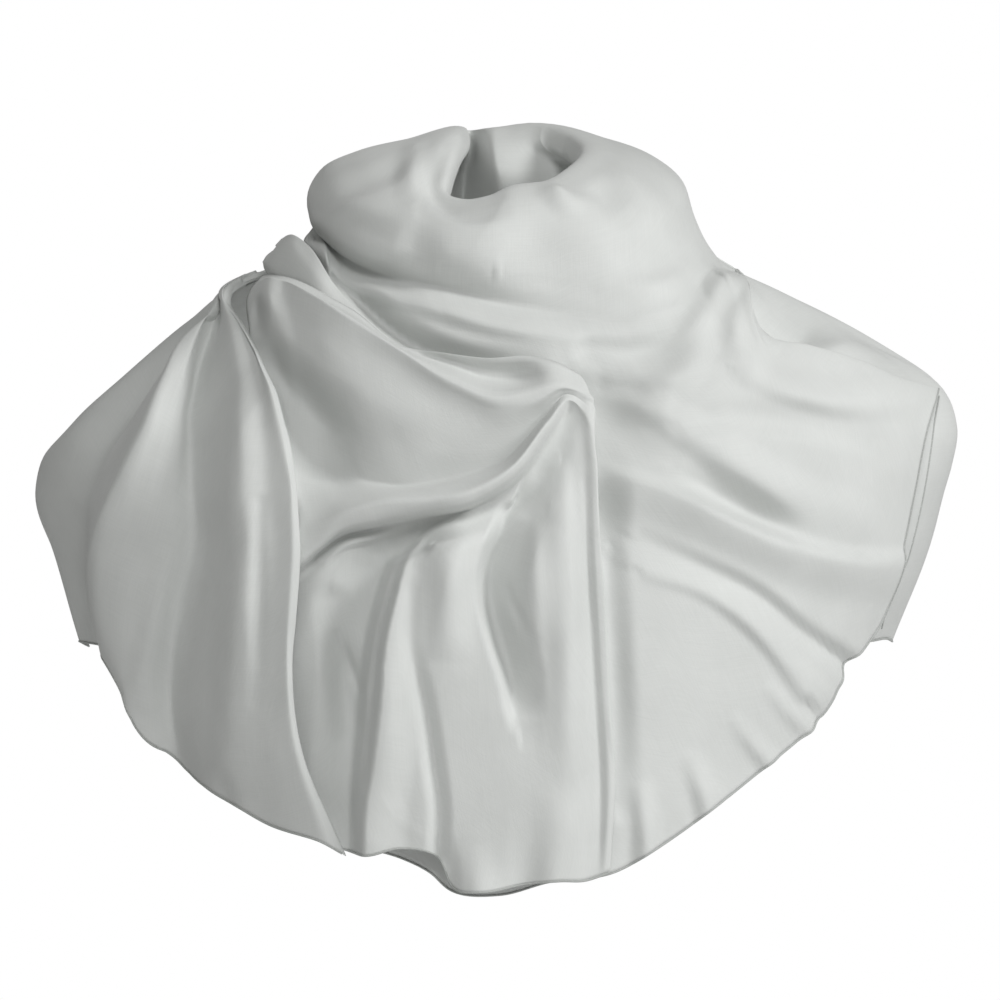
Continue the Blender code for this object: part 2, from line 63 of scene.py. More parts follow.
# Hidden back: the plain stretch of chiffon that hangs over the wearer's back in
# soft upright folds. Every stretch is laid over the same general figure, from
# lines along its creases, and is one layer of the scarf's single cut piece.
MM = 0.001                  # sizes here are in millimetres, the scene is in metres
CELL = 2.4                  # length of a mesh cell
CHIFFON = 0.35              # thickness of a sheet
LAYER_GAP = 0.45            # air between sheets that lie on each other
REACH = 70.0                # how far out a sheet looks for the cloth under it
LEAST_SLOPE = 0.35          # least squareness of a lift to the cloth
SETTLE_CELLS = 6            # cells over which a lifted place is smoothed
FOLD_STEPS = 24             # straight steps in a fold's path
SIDE_BEGINS = 0.70          # share of the half-width from which a lift turns square to the side
SIDE_BLEND = 0.25           # share over which it turns
FRONT_FADE = 0.30           # how early folds fade where the figure turns to its side
BESIDE_BEGINS = 0.6         # share of the half-width from which the side's lift comes in
ROLL_STEPS = 6              # steps round the roll of a folded edge
ROLL_TURN = 165             # degrees that a folded edge turns under
EDGE_BACK = 4               # column, counted from the edge, from which its direction is read

# The general figure with the cloth on it: a row for each height
FIGURE = (
    # height, left half-width, right half-width, front depth, back depth
    (40, 84, 84, 80, 78),
    (16, 102, 98, 92, 88),
    (6, 118, 110, 99, 93),
    (-6, 144, 126, 104, 97),
    (-16, 160, 150, 109, 101),
    (-36, 179, 192, 117, 106),
    (-66, 214, 242, 127, 113),
    (-90, 242, 253, 135, 118),
    (-110, 256, 250, 141, 121),
    (-126, 259, 245, 145, 123),
    (-157, 250, 236, 150, 125),
    (-213, 235, 214, 156, 125),
    (-280, 212, 190, 160, 121),
    (-350, 186, 170, 161, 116),
)

# A fold is a soft ridge, or a trough where its height is below zero. Its path
# holds x and z from the front. Sharp is how crisp its middle is, from 0 to 1.
Fold = namedtuple("Fold", "path heights left_widths right_widths sharp", defaults=(0.0,))


def read_between(stations, values, at, slopes):
    """Cubic curve through values with given slopes at their stations."""
    at = np.clip(np.asarray(at, float), stations[0], stations[-1])
    before = np.clip(np.searchsorted(stations, at, "right") - 1, 0, len(stations) - 2)
    length = stations[before + 1] - stations[before]
    share = (at - stations[before]) / length
    spread = (Ellipsis,) + (None,) * (values.ndim - 1)
    share = share[spread]
    length = length[spread]
    end_weight = share * share * (3 - 2 * share)
    start_slope = (share**3 - 2 * share**2 + share) * length
    end_slope = (share**3 - share**2) * length
    return ((1 - end_weight) * values[before] + end_weight * values[before + 1]
            + start_slope * slopes[before] + end_slope * slopes[before + 1])


def read_smoothly(stations, values, at):
    """Flowing curve through the values."""
    stations = np.asarray(stations, float)
    values = np.asarray(values, float)
    return read_between(stations, values, at, np.gradient(values, stations, axis=0))


def read_firmly(stations, values, at):
    """Curve through the values that never swings past them, level at each high and low."""
    stations = np.asarray(stations, float)
    values = np.asarray(values, float)
    gaps = np.diff(stations)[(Ellipsis,) + (None,) * (values.ndim - 1)]
    secants = np.diff(values, axis=0) / gaps
    slopes = np.zeros_like(values)
    same_way = secants[:-1] * secants[1:] > 0
    total = np.where(same_way, secants[:-1] + secants[1:], 1.0)
    slopes[1:-1] = np.where(same_way, 2 * secants[:-1] * secants[1:] / total, 0.0)
    slopes[0] = secants[0]
    slopes[-1] = secants[-1]
    return read_between(stations, values, at, slopes)


def ease(share):
    """Share from 0 to 1 that starts and ends softly."""
    return share * share * (3 - 2 * share)


def lengths_along(points):
    """Length from the first of the points to each of them."""
    return np.concatenate(([0.0], np.cumsum(np.linalg.norm(np.diff(points, axis=0), axis=1))))


def along(points, shares, places=None):
    """Smooth curve through points, read at shares of the length through their places."""
    points = np.asarray(points, float)
    run = lengths_along(points[:, :2] if places is None else places)
    return read_smoothly(run / run[-1], points, shares)


def figure_sizes(height):
    """Left and right half-widths and front and back depths of the figure."""
    rows = np.array(FIGURE, float)[::-1]
    return read_smoothly(rows[:, 0], rows[:, 1:], height)


def figure_points(angle, height):
    """Points on the figure, from an angle round it in degrees and a height."""
    turn = np.radians(angle)
    sizes = figure_sizes(height)
    width = np.where(np.sin(turn) < 0, sizes[..., 0], sizes[..., 1])
    depth = np.where(np.cos(turn) > 0, sizes[..., 2], sizes[..., 3])
    return np.stack((width * np.sin(turn), -depth * np.cos(turn), height), axis=-1)


def lift_directions(angle, height):
    """Unit directions off the figure: straight to the front or back, square at the sides."""
    step = 0.5
    across = figure_points(angle + step, height) - figure_points(angle - step, height)
    up = figure_points(angle, height + step) - figure_points(angle, height - step)
    square = np.cross(across, up)
    square /= np.linalg.norm(square, axis=-1, keepdims=True)
    turn = np.radians(angle)
    straight = np.zeros_like(square)
    straight[..., 1] = np.where(np.cos(turn) > 0, -1.0, 1.0)
    side = ease(np.clip((np.abs(np.sin(turn)) - SIDE_BEGINS) / SIDE_BLEND, 0.0, 1.0)[..., None])
    blend = (1 - side) * straight + side * square
    return blend / np.linalg.norm(blend, axis=-1, keepdims=True)


def from_front(points):
    """Angles, heights and fold heights of points given by x and z as seen from the front."""
    points = np.asarray(points, float)
    sizes = figure_sizes(points[..., 1])
    width = np.where(points[..., 0] < 0, sizes[..., 0], sizes[..., 1])
    turn = np.degrees(np.arcsin(np.clip(points[..., 0] / width, -1.0, 1.0)))
    return np.concatenate((turn[..., None], points[..., 1:]), axis=-1)


def fold_heights(x, z, folds):
    """Sum of the folds' heights at points seen at x and z."""
    total = np.zeros(np.shape(x))
    place = np.stack((x, z), axis=-1)
    for fold in folds:
        path = along(fold.path, np.linspace(0, 1, FOLD_STEPS + 1))
        shares = np.linspace(0, 1, len(path))
        nearest = np.full(total.shape, np.inf)
        share = np.zeros(total.shape)
        side = np.zeros(total.shape)
        for index, (start, end) in enumerate(zip(path[:-1], path[1:])):
            run = end - start
            away = place - start
            part = np.clip((away @ run) / (run @ run), 0.0, 1.0)
            distance = np.linalg.norm(away - part[..., None] * run, axis=-1)
            closer = distance < nearest
            nearest = np.where(closer, distance, nearest)
            share = np.where(closer, shares[index] + part * (shares[1] - shares[0]), share)
            side = np.where(closer, away[..., 0] * run[1] - away[..., 1] * run[0], side)
        left = fold.left_widths[0] + (fold.left_widths[1] - fold.left_widths[0]) * share
        right = fold.right_widths[0] + (fold.right_widths[1] - fold.right_widths[0]) * share
        reach = np.clip(nearest / np.where(side > 0, left, right), 0.0, 1.0)
        stations = np.linspace(0, 1, len(fold.heights))
        height = read_smoothly(stations, fold.heights, share)
        soft = 0.5 * (1 + np.cos(math.pi * reach))
        crisp = (1 - reach) ** 2
        total += height * (soft + (crisp - soft) * fold.sharp)
    return total


def loft(lines, cell=CELL):
    """Grid of angles, heights and fold heights through lines from one side to the other."""
    lines = [np.asarray(line, float) for line in lines]
    places = [figure_points(line[:, 0], line[:, 1]) for line in lines]
    longest = max(np.linalg.norm(np.diff(place, axis=0), axis=1).sum() for place in places)
    shares = np.linspace(0, 1, int(longest / cell) + 1)
    even = np.array([along(line, shares, place) for line, place in zip(lines, places)])
    spots = figure_points(even[..., 0], even[..., 1])
    gaps = np.linalg.norm(np.diff(spots, axis=0), axis=2).mean(axis=1)
    stations = np.concatenate(([0.0], np.cumsum(gaps)))
    at = [stations[0]]
    for start, gap in zip(stations[:-1], gaps):
        parts = max(2, math.ceil(gap / cell))
        at.extend(start + gap * np.arange(1, parts + 1) / parts)
    return read_firmly(stations, even, np.array(at))


def outward_slopes(points, directions):
    """How squarely the lift directions leave the cloth, from 1 down to a set least."""
    square = np.cross(np.gradient(points, axis=0), np.gradient(points, axis=1))
    square /= np.linalg.norm(square, axis=-1, keepdims=True) + 1e-9
    return np.maximum(np.abs((square * directions).sum(axis=-1)), LEAST_SLOPE)


def windows(values, reach):
    """Windows of the grid round each of its places, the edge repeated past it."""
    padded = np.pad(values, reach, mode="edge")
    return np.lib.stride_tricks.sliding_window_view(padded, (2 * reach + 1, 2 * reach + 1))


def lift_clear(points, directions, lower):
    """Move points out along their directions until the sheet clears the cloth under it."""
    clearance = (CHIFFON + LAYER_GAP) / outward_slopes(points, directions)
    amounts = np.zeros(points.shape[:2])
    for index in np.ndindex(amounts.shape):
        away = Vector(directions[index])
        start = Vector(points[index]) + away * REACH
        for tree in lower:
            hit = tree.ray_cast(start, -away, 2 * REACH)
            if hit[0] is not None:
                amounts[index] = max(amounts[index], REACH - hit[3] + clearance[index])
    soft = windows(amounts, SETTLE_CELLS).max(axis=(2, 3))
    for _ in range(2):
        soft = windows(soft, SETTLE_CELLS // 2).mean(axis=(2, 3))
    return points + directions * soft[..., None]


def rolled(points, directions, side, radius, tail):
    """The grid with one side rolled under, as at a fold in the cloth."""
    if side == "left":
        return rolled(points[:, ::-1], directions[:, ::-1], "right", radius, tail)[:, ::-1]
    if side in ("top", "bottom"):
        side = "left" if side == "top" else "right"
        return rolled(points.transpose(1, 0, 2), directions.transpose(1, 0, 2), side,
                      radius, tail).transpose(1, 0, 2)
    edge = points[:, -1]
    onward = edge - points[:, -EDGE_BACK]
    onward /= np.linalg.norm(onward, axis=1, keepdims=True)
    inward = -directions[:, -1]
    inward = inward - (inward * onward).sum(axis=1, keepdims=True) * onward
    inward /= np.linalg.norm(inward, axis=1, keepdims=True)
    added = []
    for step in np.radians(np.linspace(0, ROLL_TURN, ROLL_STEPS + 1)[1:]):
        added.append(edge + radius * (math.sin(step) * onward + (1 - math.cos(step)) * inward))
    last = math.radians(ROLL_TURN)
    tail_way = math.cos(last) * onward + math.sin(last) * inward
    for part in (0.5, 1.0):
        added.append(added[ROLL_STEPS - 1] + tail * part * tail_way)
    return np.concatenate((points, np.stack(added, axis=1)), axis=1)


def draped(lines, front_lift, side_lift, folds=(), lower=(), cell=CELL, straight=False):
    """Points and lift directions of a sheet over the figure and over the sheets under it."""
    grid = loft(lines, cell)
    angle = grid[..., 0]
    height = grid[..., 1]
    points = figure_points(angle, height)
    directions = lift_directions(angle, height)
    if straight:
        directions = np.zeros_like(points)
        directions[..., 1] = -1.0
    shown = np.clip(np.cos(np.radians(angle)) / FRONT_FADE, 0.0, 1.0)
    beside = np.clip((np.abs(np.sin(np.radians(angle))) - BESIDE_BEGINS) / (1 - BESIDE_BEGINS), 0.0, 1.0)
    lift = front_lift + (side_lift - front_lift) * beside + grid[..., 2]
    lift = lift + shown * fold_heights(points[..., 0], points[..., 2], folds)
    points = points + directions * lift[..., None]
    return lift_clear(points, directions, lower) if lower else points, directions


def search_tree(points):
    """Search tree over a sheet, in millimetres."""
    rows, columns = points.shape[:2]
    index = np.arange(rows * columns).reshape(rows, columns)
    corners = np.stack((index[:-1, :-1], index[:-1, 1:], index[1:, 1:], index[1:, :-1]), axis=-1)
    return BVHTree.FromPolygons(points.reshape(-1, 3).tolist(), corners.reshape(-1, 4).tolist())


def grid_sheet(name, points):
    """Flat grid shaped to the points, with its UV map in metres along the cloth."""
    rows, columns = points.shape[:2]
    bpy.ops.object.select_all(action="DESELECT")
    bpy.ops.mesh.primitive_grid_add(x_subdivisions=columns - 1, y_subdivisions=rows - 1, size=1.0)
    sheet = bpy.context.object
    sheet.name = name
    mesh = sheet.data
    count = len(mesh.vertices)
    flat = np.empty(count * 3)
    mesh.vertices.foreach_get("co", flat)
    flat = flat.reshape(-1, 3)
    column = np.rint((flat[:, 0] + 0.5) * (columns - 1)).astype(int)
    row = np.rint((0.5 - flat[:, 1]) * (rows - 1)).astype(int)
    mesh.vertices.foreach_set("co", (points[row, column] * MM).ravel())
    across = np.zeros((rows, columns))
    across[:, 1:] = np.cumsum(np.linalg.norm(np.diff(points, axis=1), axis=2), axis=1)
    down = np.zeros((rows, columns))
    down[1:] = np.cumsum(np.linalg.norm(np.diff(points, axis=0), axis=2), axis=0)
    cloth = np.stack((across - across[:, columns // 2][:, None], down), axis=-1) * MM
    corner = np.empty(len(mesh.loops), int)
    mesh.loops.foreach_get("vertex_index", corner)
    mesh.uv_layers.active.data.foreach_set("uv", cloth[row, column][corner].ravel())
    mesh.update()
    return sheet


def finish_sheet(sheet, nodes, hems=(), outward=None):
    """Thickness, finish and place of a sheet, its hems, and the nodes that it stands for."""
    bpy.ops.object.select_all(action="DESELECT")
    sheet.select_set(True)
    bpy.context.view_layer.objects.active = sheet
    thickness = sheet.modifiers.new("cloth", "SOLIDIFY")
    thickness.thickness = CHIFFON * MM
    thickness.offset = -1.0
    bpy.ops.object.modifier_apply(modifier=thickness.name)
    bpy.ops.object.shade_smooth()
    sheet.data.materials.clear()
    sheet.data.materials.append(chiffon)
    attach(sheet, "root")
    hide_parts(*nodes)
    for number, line in enumerate(hems, 1):
        hem_along(f"{sheet.name}_hem_{number}", line)
        stitch_along(f"{sheet.name}_stitches_{number}", line, outward)


# The cloth's finish: pale silver-grey, sheer and matte with a soft silk sheen, and
# a fine crepe weave whose threads vary a little.
# slubs are long along their thread and narrow across it
SLUB_STRETCHES = {"X": (2600.0, 90.0, 1.0), "Y": (90.0, 2600.0, 1.0)}
SLUB_SCALE = 0.5
CREPE_SCALE = 420.0
WEAVE_SHARE = 0.35          # how much the threads rise beside the slubs
CREPE_SHARE = 1.3           # and how much the crepe does
DYE_SCALE = 26.0
TONE_STOPS = (0.31, 0.69)   # where the deeper and the paler tone lie in the clouds of dye
RELIEF_DEPTH = 0.0002       # metres that the weave stands up
weave = bpy.data.node_groups.new("crepe weave", "ShaderNodeTree")
for label, way, kind in (("Cloth", "INPUT", "Vector"), ("Threads", "INPUT", "Float"),
                         ("Height", "OUTPUT", "Float"), ("Tone", "OUTPUT", "Float")):
    weave.interface.new_socket(label, in_out=way, socket_type="NodeSocket" + kind)


def add_node(tree, kind, label, inputs=(), **settings):
    """Node with its label, settings, and a value or another node's output for each input."""
    node = tree.nodes.new(kind)
    node.label = label
    for key, value in settings.items():
        setattr(node, key, value)
    for socket, value in inputs.items() if isinstance(inputs, dict) else enumerate(inputs):
        if isinstance(value, bpy.types.NodeSocket):
            tree.links.new(value, node.inputs[socket])
        else:
            node.inputs[socket].default_value = value
    return node


def sum_of(tree, label, operation, *inputs):
    """Output of a node that does one sum with its inputs."""
    return add_node(tree, "ShaderNodeMath", label, inputs, operation=operation).outputs[0]


inlet = add_node(weave, "NodeGroupInput", "cloth").outputs
apart = add_node(weave, "ShaderNodeSeparateXYZ", "warp and weft", [inlet["Cloth"]]).outputs
threads = []
slubs = []
for label, socket in (("warp", "X"), ("weft", "Y")):
    pace = sum_of(weave, label + " pace", "MULTIPLY", apart[socket], inlet["Threads"])
    threads.append(sum_of(weave, label + " threads", "SINE", pace))
    spread = add_node(weave, "ShaderNodeMapping", label + " slubs spread",
                      {"Vector": inlet["Cloth"], "Scale": SLUB_STRETCHES[socket]})
    noise = add_node(weave, "ShaderNodeTexNoise", label + " slubs",
                     {"Vector": spread.outputs[0], "Scale": SLUB_SCALE, "Detail": 2.0})
    slubs.append(noise.outputs["Fac"])
crossing = sum_of(weave, "over and under", "MULTIPLY", *threads)
slub = sum_of(weave, "slubs both ways", "ADD", *slubs)
crepe = add_node(weave, "ShaderNodeTexNoise", "crepe",
                 {"Vector": inlet["Cloth"], "Scale": CREPE_SCALE, "Detail": 3.0})
rise = sum_of(weave, "slubs on the weave", "MULTIPLY_ADD", crossing, WEAVE_SHARE, slub)
rise = sum_of(weave, "crepe on the weave", "MULTIPLY_ADD", crepe.outputs["Fac"], CREPE_SHARE, rise)
add_node(weave, "NodeGroupOutput", "weave", {"Height": rise, "Tone": slub})


def cloth_finish(name, deep, pale, roughness, sheen, threads_per_metre, relief):
    """Chiffon between a deeper and a paler tone, with its weave in fine relief."""
    material = bpy.data.materials.new(name)
    material.use_nodes = True
    tree = material.node_tree
    cloth = add_node(tree, "ShaderNodeUVMap", "along the cloth", uv_map="UVMap")
    woven = add_node(tree, "ShaderNodeGroup", "weave", node_tree=weave, inputs={
        "Cloth": cloth.outputs[0], "Threads": threads_per_metre * math.tau}).outputs
    spots = add_node(tree, "ShaderNodeTexCoord", "place")
    cloud = add_node(tree, "ShaderNodeTexNoise", "uneven dye",
                     {"Vector": spots.outputs["Object"], "Scale": DYE_SCALE, "Detail": 4.0})
    both = sum_of(tree, "dye and slubs", "MULTIPLY_ADD", woven["Tone"], 0.5, cloud.outputs["Fac"])
    half = sum_of(tree, "half of both", "MULTIPLY", both, 0.5)
    tone = add_node(tree, "ShaderNodeValToRGB", "tone", {"Fac": half})
    for stop, place, colour in zip(tone.color_ramp.elements, TONE_STOPS, (deep, pale)):
        stop.position = place
        stop.color = colour
    bump = add_node(tree, "ShaderNodeBump", "weave relief",
                    {"Height": woven["Height"], "Strength": relief, "Distance": RELIEF_DEPTH})
    shader = tree.nodes["Principled BSDF"].inputs
    shader["Roughness"].default_value = roughness
    shader["Sheen Weight"].default_value = sheen
    shader["Sheen Roughness"].default_value = 0.45
    shader["Specular IOR Level"].default_value = 0.25
    tree.links.new(tone.outputs["Color"], shader["Base Color"])
    tree.links.new(bump.outputs["Normal"], shader["Normal"])
    return material


chiffon = cloth_finish("silk chiffon", deep=(0.600, 0.615, 0.600, 1), pale=(0.680, 0.695, 0.680, 1),
                       roughness=0.62, sheen=0.25, threads_per_metre=1700, relief=0.25)

# Rolled hem: the cut edges are rolled in by hand to a cord finer than two
# millimetres and caught down with small slip stitches of silk thread.
HEM_RADIUS = 0.62
HEM_PACE = 2.5              # spacing of the hem's points along it
STITCH_PACE = 4.2           # spacing of the stitches along the hem
STITCH_SIZE = (1.1, 0.42, 0.36)     # length, width and height of a stitch
TO_FRONT = (0.0, -1.0, 0.0)
TO_BACK = (0.0, 1.0, 0.0)
SLANT = (0.8, 0.6)          # of a stitch: its share along the hem and across it
STITCH_SEAT = 0.85          # height of a stitch over the hem's middle, as a share of its radius
hem_finish = cloth_finish("rolled hem", deep=(0.40, 0.415, 0.40, 1), pale=(0.47, 0.485, 0.47, 1),
                          roughness=0.66, sheen=0.2, threads_per_metre=1700, relief=0.3)
thread_finish = cloth_finish("silk thread", deep=(0.50, 0.515, 0.50, 1), pale=(0.60, 0.61, 0.60, 1),
                             roughness=0.5, sheen=0.3, threads_per_metre=2600, relief=0.2)


def spots_at(line, places):
    """Points at lengths along a line of points."""
    run = lengths_along(line)
    return np.stack([np.interp(places, run, line[:, axis]) for axis in range(3)], axis=-1)


def hem_along(name, line):
    """Rolled hem along a cut edge: a fine tube through the edge's points."""
    length = lengths_along(line)[-1]
    route = spots_at(line, np.linspace(0, length, int(length / HEM_PACE)))
    bpy.ops.object.select_all(action="DESELECT")
    bpy.ops.curve.primitive_nurbs_path_add()
    hem = bpy.context.object
    hem.name = name
    hem.data.splines.clear()
    spline = hem.data.splines.new("POLY")
    spline.points.add(len(route) - 1)
    for point, spot in zip(spline.points, route):
        point.co = (*(spot * MM), 1.0)
    hem.data.bevel_depth = HEM_RADIUS * MM
    hem.data.bevel_resolution = 2
    hem.data.use_fill_caps = True
    bpy.ops.object.convert(target="MESH")
    hem.data.uv_layers.new(name="UVMap")
    bpy.ops.object.shade_smooth()
    hem.data.materials.append(hem_finish)
    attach(hem, "root")
    return hem


def stitch_along(name, route, outward):
    """Small slip stitches, each a short slanted grain of thread over the hem."""
    outward = np.asarray(outward)
    places = np.arange(STITCH_PACE, lengths_along(route)[-1] - STITCH_PACE, STITCH_PACE)
    spots = spots_at(route, places)
    onward = spots_at(route, places + 1.0) - spots
    onward = onward / np.linalg.norm(onward, axis=1, keepdims=True)
    bpy.ops.object.select_all(action="DESELECT")
    bpy.ops.mesh.primitive_uv_sphere_add(segments=6, ring_count=4, radius=0.5)
    stitches = bpy.context.object
    stitches.name = name
    grain = np.array([vertex.co[:] for vertex in stitches.data.vertices])[None]
    row = stitches.modifiers.new("along the hem", "ARRAY")
    row.count = len(places)
    bpy.ops.object.modifier_apply(modifier=row.name)
    aside = np.cross(onward, outward)
    aside /= np.linalg.norm(aside, axis=1, keepdims=True)
    slant = onward * SLANT[0] + aside * SLANT[1]
    other = np.cross(slant, outward)
    shaped = (grain[..., :1] * slant[:, None] * STITCH_SIZE[0]
              + grain[..., 1:2] * other[:, None] * STITCH_SIZE[1]
              + grain[..., 2:] * outward * STITCH_SIZE[2]
              + spots[:, None] + outward * HEM_RADIUS * STITCH_SEAT)
    stitches.data.vertices.foreach_set("co", (shaped * MM).ravel())
    stitches.data.update()
    bpy.ops.object.shade_smooth()
    stitches.data.materials.append(thread_finish)
    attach(stitches, "root")
    return stitches


# Angles run round the figure from its front: 90 is the viewer's right, 180 the back.
BACK_LINES = (
    # angle, height and fold height, from the right shoulder's back to the left one's
    ((96, 3, -3), (135, 7, -3), (180, 9, -3), (225, 7, -3), (264, 5, -3)),
    ((95, -10, 0), (112, -8, -1), (135, -8, 2), (158, -8, 0), (180, -8, 2), (203, -8, 0), (226, -8, 2),
     (248, -8, -1), (265, -10, 0)),
    ((95, -70, 0), (112, -70, 5), (128, -70, -2), (146, -70, 5), (163, -70, -3), (180, -70, 6),
     (197, -70, -2), (214, -70, 6), (232, -70, -3), (249, -70, 5), (265, -70, 0)),
    ((95, -140, 0), (112, -142, 7), (128, -145, -3), (145, -145, 7), (162, -145, -4), (179, -145, 8),
     (197, -145, -3), (215, -145, 8), (233, -145, -4), (250, -142, 7), (265, -140, 0)),
    ((96, -196, 0), (111, -208, 8), (127, -221, -4), (144, -226, 8), (161, -234, -5), (179, -236, 9),
     (198, -235, -4), (216, -229, 9), (234, -224, -5), (250, -212, 7), (264, -204, 0)),
)
back_points = draped(BACK_LINES, front_lift=-1.0, side_lift=-1.8, cell=3.2)[0]
back_tree = search_tree(back_points)
back = grid_sheet("back_drape", back_points)
finish_sheet(back, nodes=["back_panel"],
             hems=[back_points[-1]], outward=TO_BACK)

# Layer over the right shoulder: the back of the scarf brought forward, whose edge
# and hem show beyond the front stretch. It hangs a little lower than the hem before it.
UNDER_LINES = (
    # x, z and fold height in front; then height and fold height at angles 90 and 114
    (((88, 6, 0), (100, 8, 0)), (8, 0), (8, 0)),
    (((109, -11, -2), (129, -6, 3), (143, -10, 1)), (-14, 0), (-10, 0)),
    (((117, -36, -3), (139, -36, 8), (146, -32, -16), (167, -34, -16), (172, -28, -1)), (-50, 0), (-46, 0)),
    (((132, -64, 0), (165, -60, -6), (185, -50, 2), (206, -46, -1)), (-66, 0), (-62, 0)),
    (((154, -92, 0), (199, -87, 0), (224, -67, -4), (241, -66, 0)), (-110, 0), (-100, 0)),
    (((165, -143, 0), (210, -143, 2), (235, -143, 1)), (-150, 2), (-145, 0)),
    (((174, -188, 0), (200, -191, 1), (221, -191, 0)), (-190, 2), (-184, 0)),
    (((178, -203, 0), (199, -210, 0), (213, -209, 0)), (-210, 2), (-205, 0)),
)
# the edge of a second fold of this layer shows as a line beside the front stretch
SECOND_EDGE = ((245, -73), (242, -87), (240, -101), (236, -126), (230, -153), (226, -167), (218, -182),
               (214, -195), (212, -204))
EDGE_POINTS = 60
under_lines = [(*from_front(front), (90, *side), (114, *back)) for front, side, back in UNDER_LINES]
under_points = draped(under_lines, front_lift=0.0, side_lift=2.6, lower=(back_tree,))[0]
under_tree = search_tree(under_points)
under = grid_sheet("right_under_drape", under_points)
edge_spots = [under_tree.ray_cast(Vector((x, -REACH * 5, z)), Vector((0, 1, 0)))[0]
              for x, z in along(SECOND_EDGE, np.linspace(0, 1, EDGE_POINTS))]
second_edge = np.array([spot for spot in edge_spots if spot is not None])
finish_sheet(under, nodes=["right_under_layer"],
             hems=[under_points[-1], second_edge], outward=TO_FRONT)

# Neck wrap and right front: one stretch, which rolls out of the neck opening, falls
# into the long crease under the wrap, and spreads over the chest to the right edge.
WRAP_SECTIONS = (
    # angle, foot radius, foot height, belly radius, belly height, straightness above it
    (-160, 103, -6, 113, 20, 1.0),
    (-120, 111, 14, 114, 30, 0.95),
    (-90, 108, 27, 112, 41, 0.9),
    (-72, 108, 16, 114, 27, 0.9),
    (-58, 107, 5, 117, 19, 0.9),
    (-45, 108, -3, 119, 14, 0.9),
    (-32, 110, -9, 121, 10, 0.95),
    (-20, 112, -13, 122, 6, 1.0),
    (-6, 114, -19, 123, 2, 1.0),
    (12, 118, -26, 123, 0, 1.0),
    (30, 124, -30, 122, 0, 1.1),
    (48, 126, -24, 119, 8, 1.2),
    (65, 122, -9, 113, 18, 1.05),
    (90, 120, 4, 107, 30, 0.95),
    (130, 112, -2, 114, 20, 0.95),
    (165, 103, -8, 113, 20, 1.0),
)
WRAP_RIM = (
    # angle, x, y and z of the edge that rolls into the neck opening
    (-160, -21, 60, 79),
    (-140, -21, 38, 79),
    (-115, -22, 14, 77),
    (-90, -24, -12, 72),
    (-70, -27, -34, 64),
    (-50, -31, -54, 50),
    (-36, -32, -66, 41),
    (-22, -22, -73, 37),
    (-8, -8, -76, 39),
    (4, 4, -75, 44),
    (17, 20, -69, 46),
    (28, 27, -61, 49),
    (38, 35, -46, 55),
    (50, 41, -28, 61),
    (64, 42, -8, 66),
    (80, 38, 12, 71),
    (100, 31, 30, 76),
    (125, 22, 48, 80),
    (150, 10, 60, 82),
    (172, -2, 66, 81),
)
WRAP_DEPTH_SHARE = 0.94     # depth of the wrap as a share of its width
WRAP_COLUMNS = 360
WRAP_ROWS = 56
RIM_READS = (25, 48, 68)    # degrees at which the curve from the belly to the rim is read
RIM_TURN = (2.5, 7)         # how far in and down the cloth turns right behind the rim
NECK_RADIUS = 61.0          # radius of the wrap's inner wall
NECK_DROPS = (24, 46)       # depths below the rim of the inside's upper and lower points
OUTER_END = (0.62, 0.10)    # share of the way up where the outer folds end, and their fade
INNER_START = (0.56, 0.06)  # and where the inner ones start
FOOT_FADE = 0.10            # share at the foot over which the outer folds come in
FOOT_SWELL = (1.5, 1.0)     # fullness out and down between the foot and the belly
INSIDE_SAG = 3              # and down behind the rim
SIDE_FADE = 0.2             # how soon the outer folds come in from the neck's sides
INNER_SIDE_FADE = 0.6       # and the inner ones
PANEL_FIRST = -84           # angles between which the wrap runs on into the right front
PANEL_LAST = 86
PANEL_ROWS = 124
JOIN_WITHIN = 2e-6          # metres between points of the two that become one
VALLEY_FADE = 26.0          # how far below the crease the front takes its own form
CREASE_FADES = (6.0, 42.0)  # angles between which the crease fades out to the right
FLUSH_ENDS = (84.0, 112.0)  # and where the wrap's foot leaves the front stretch behind
FRONT_LIFT = 6.0            # lift of the front stretch off the figure
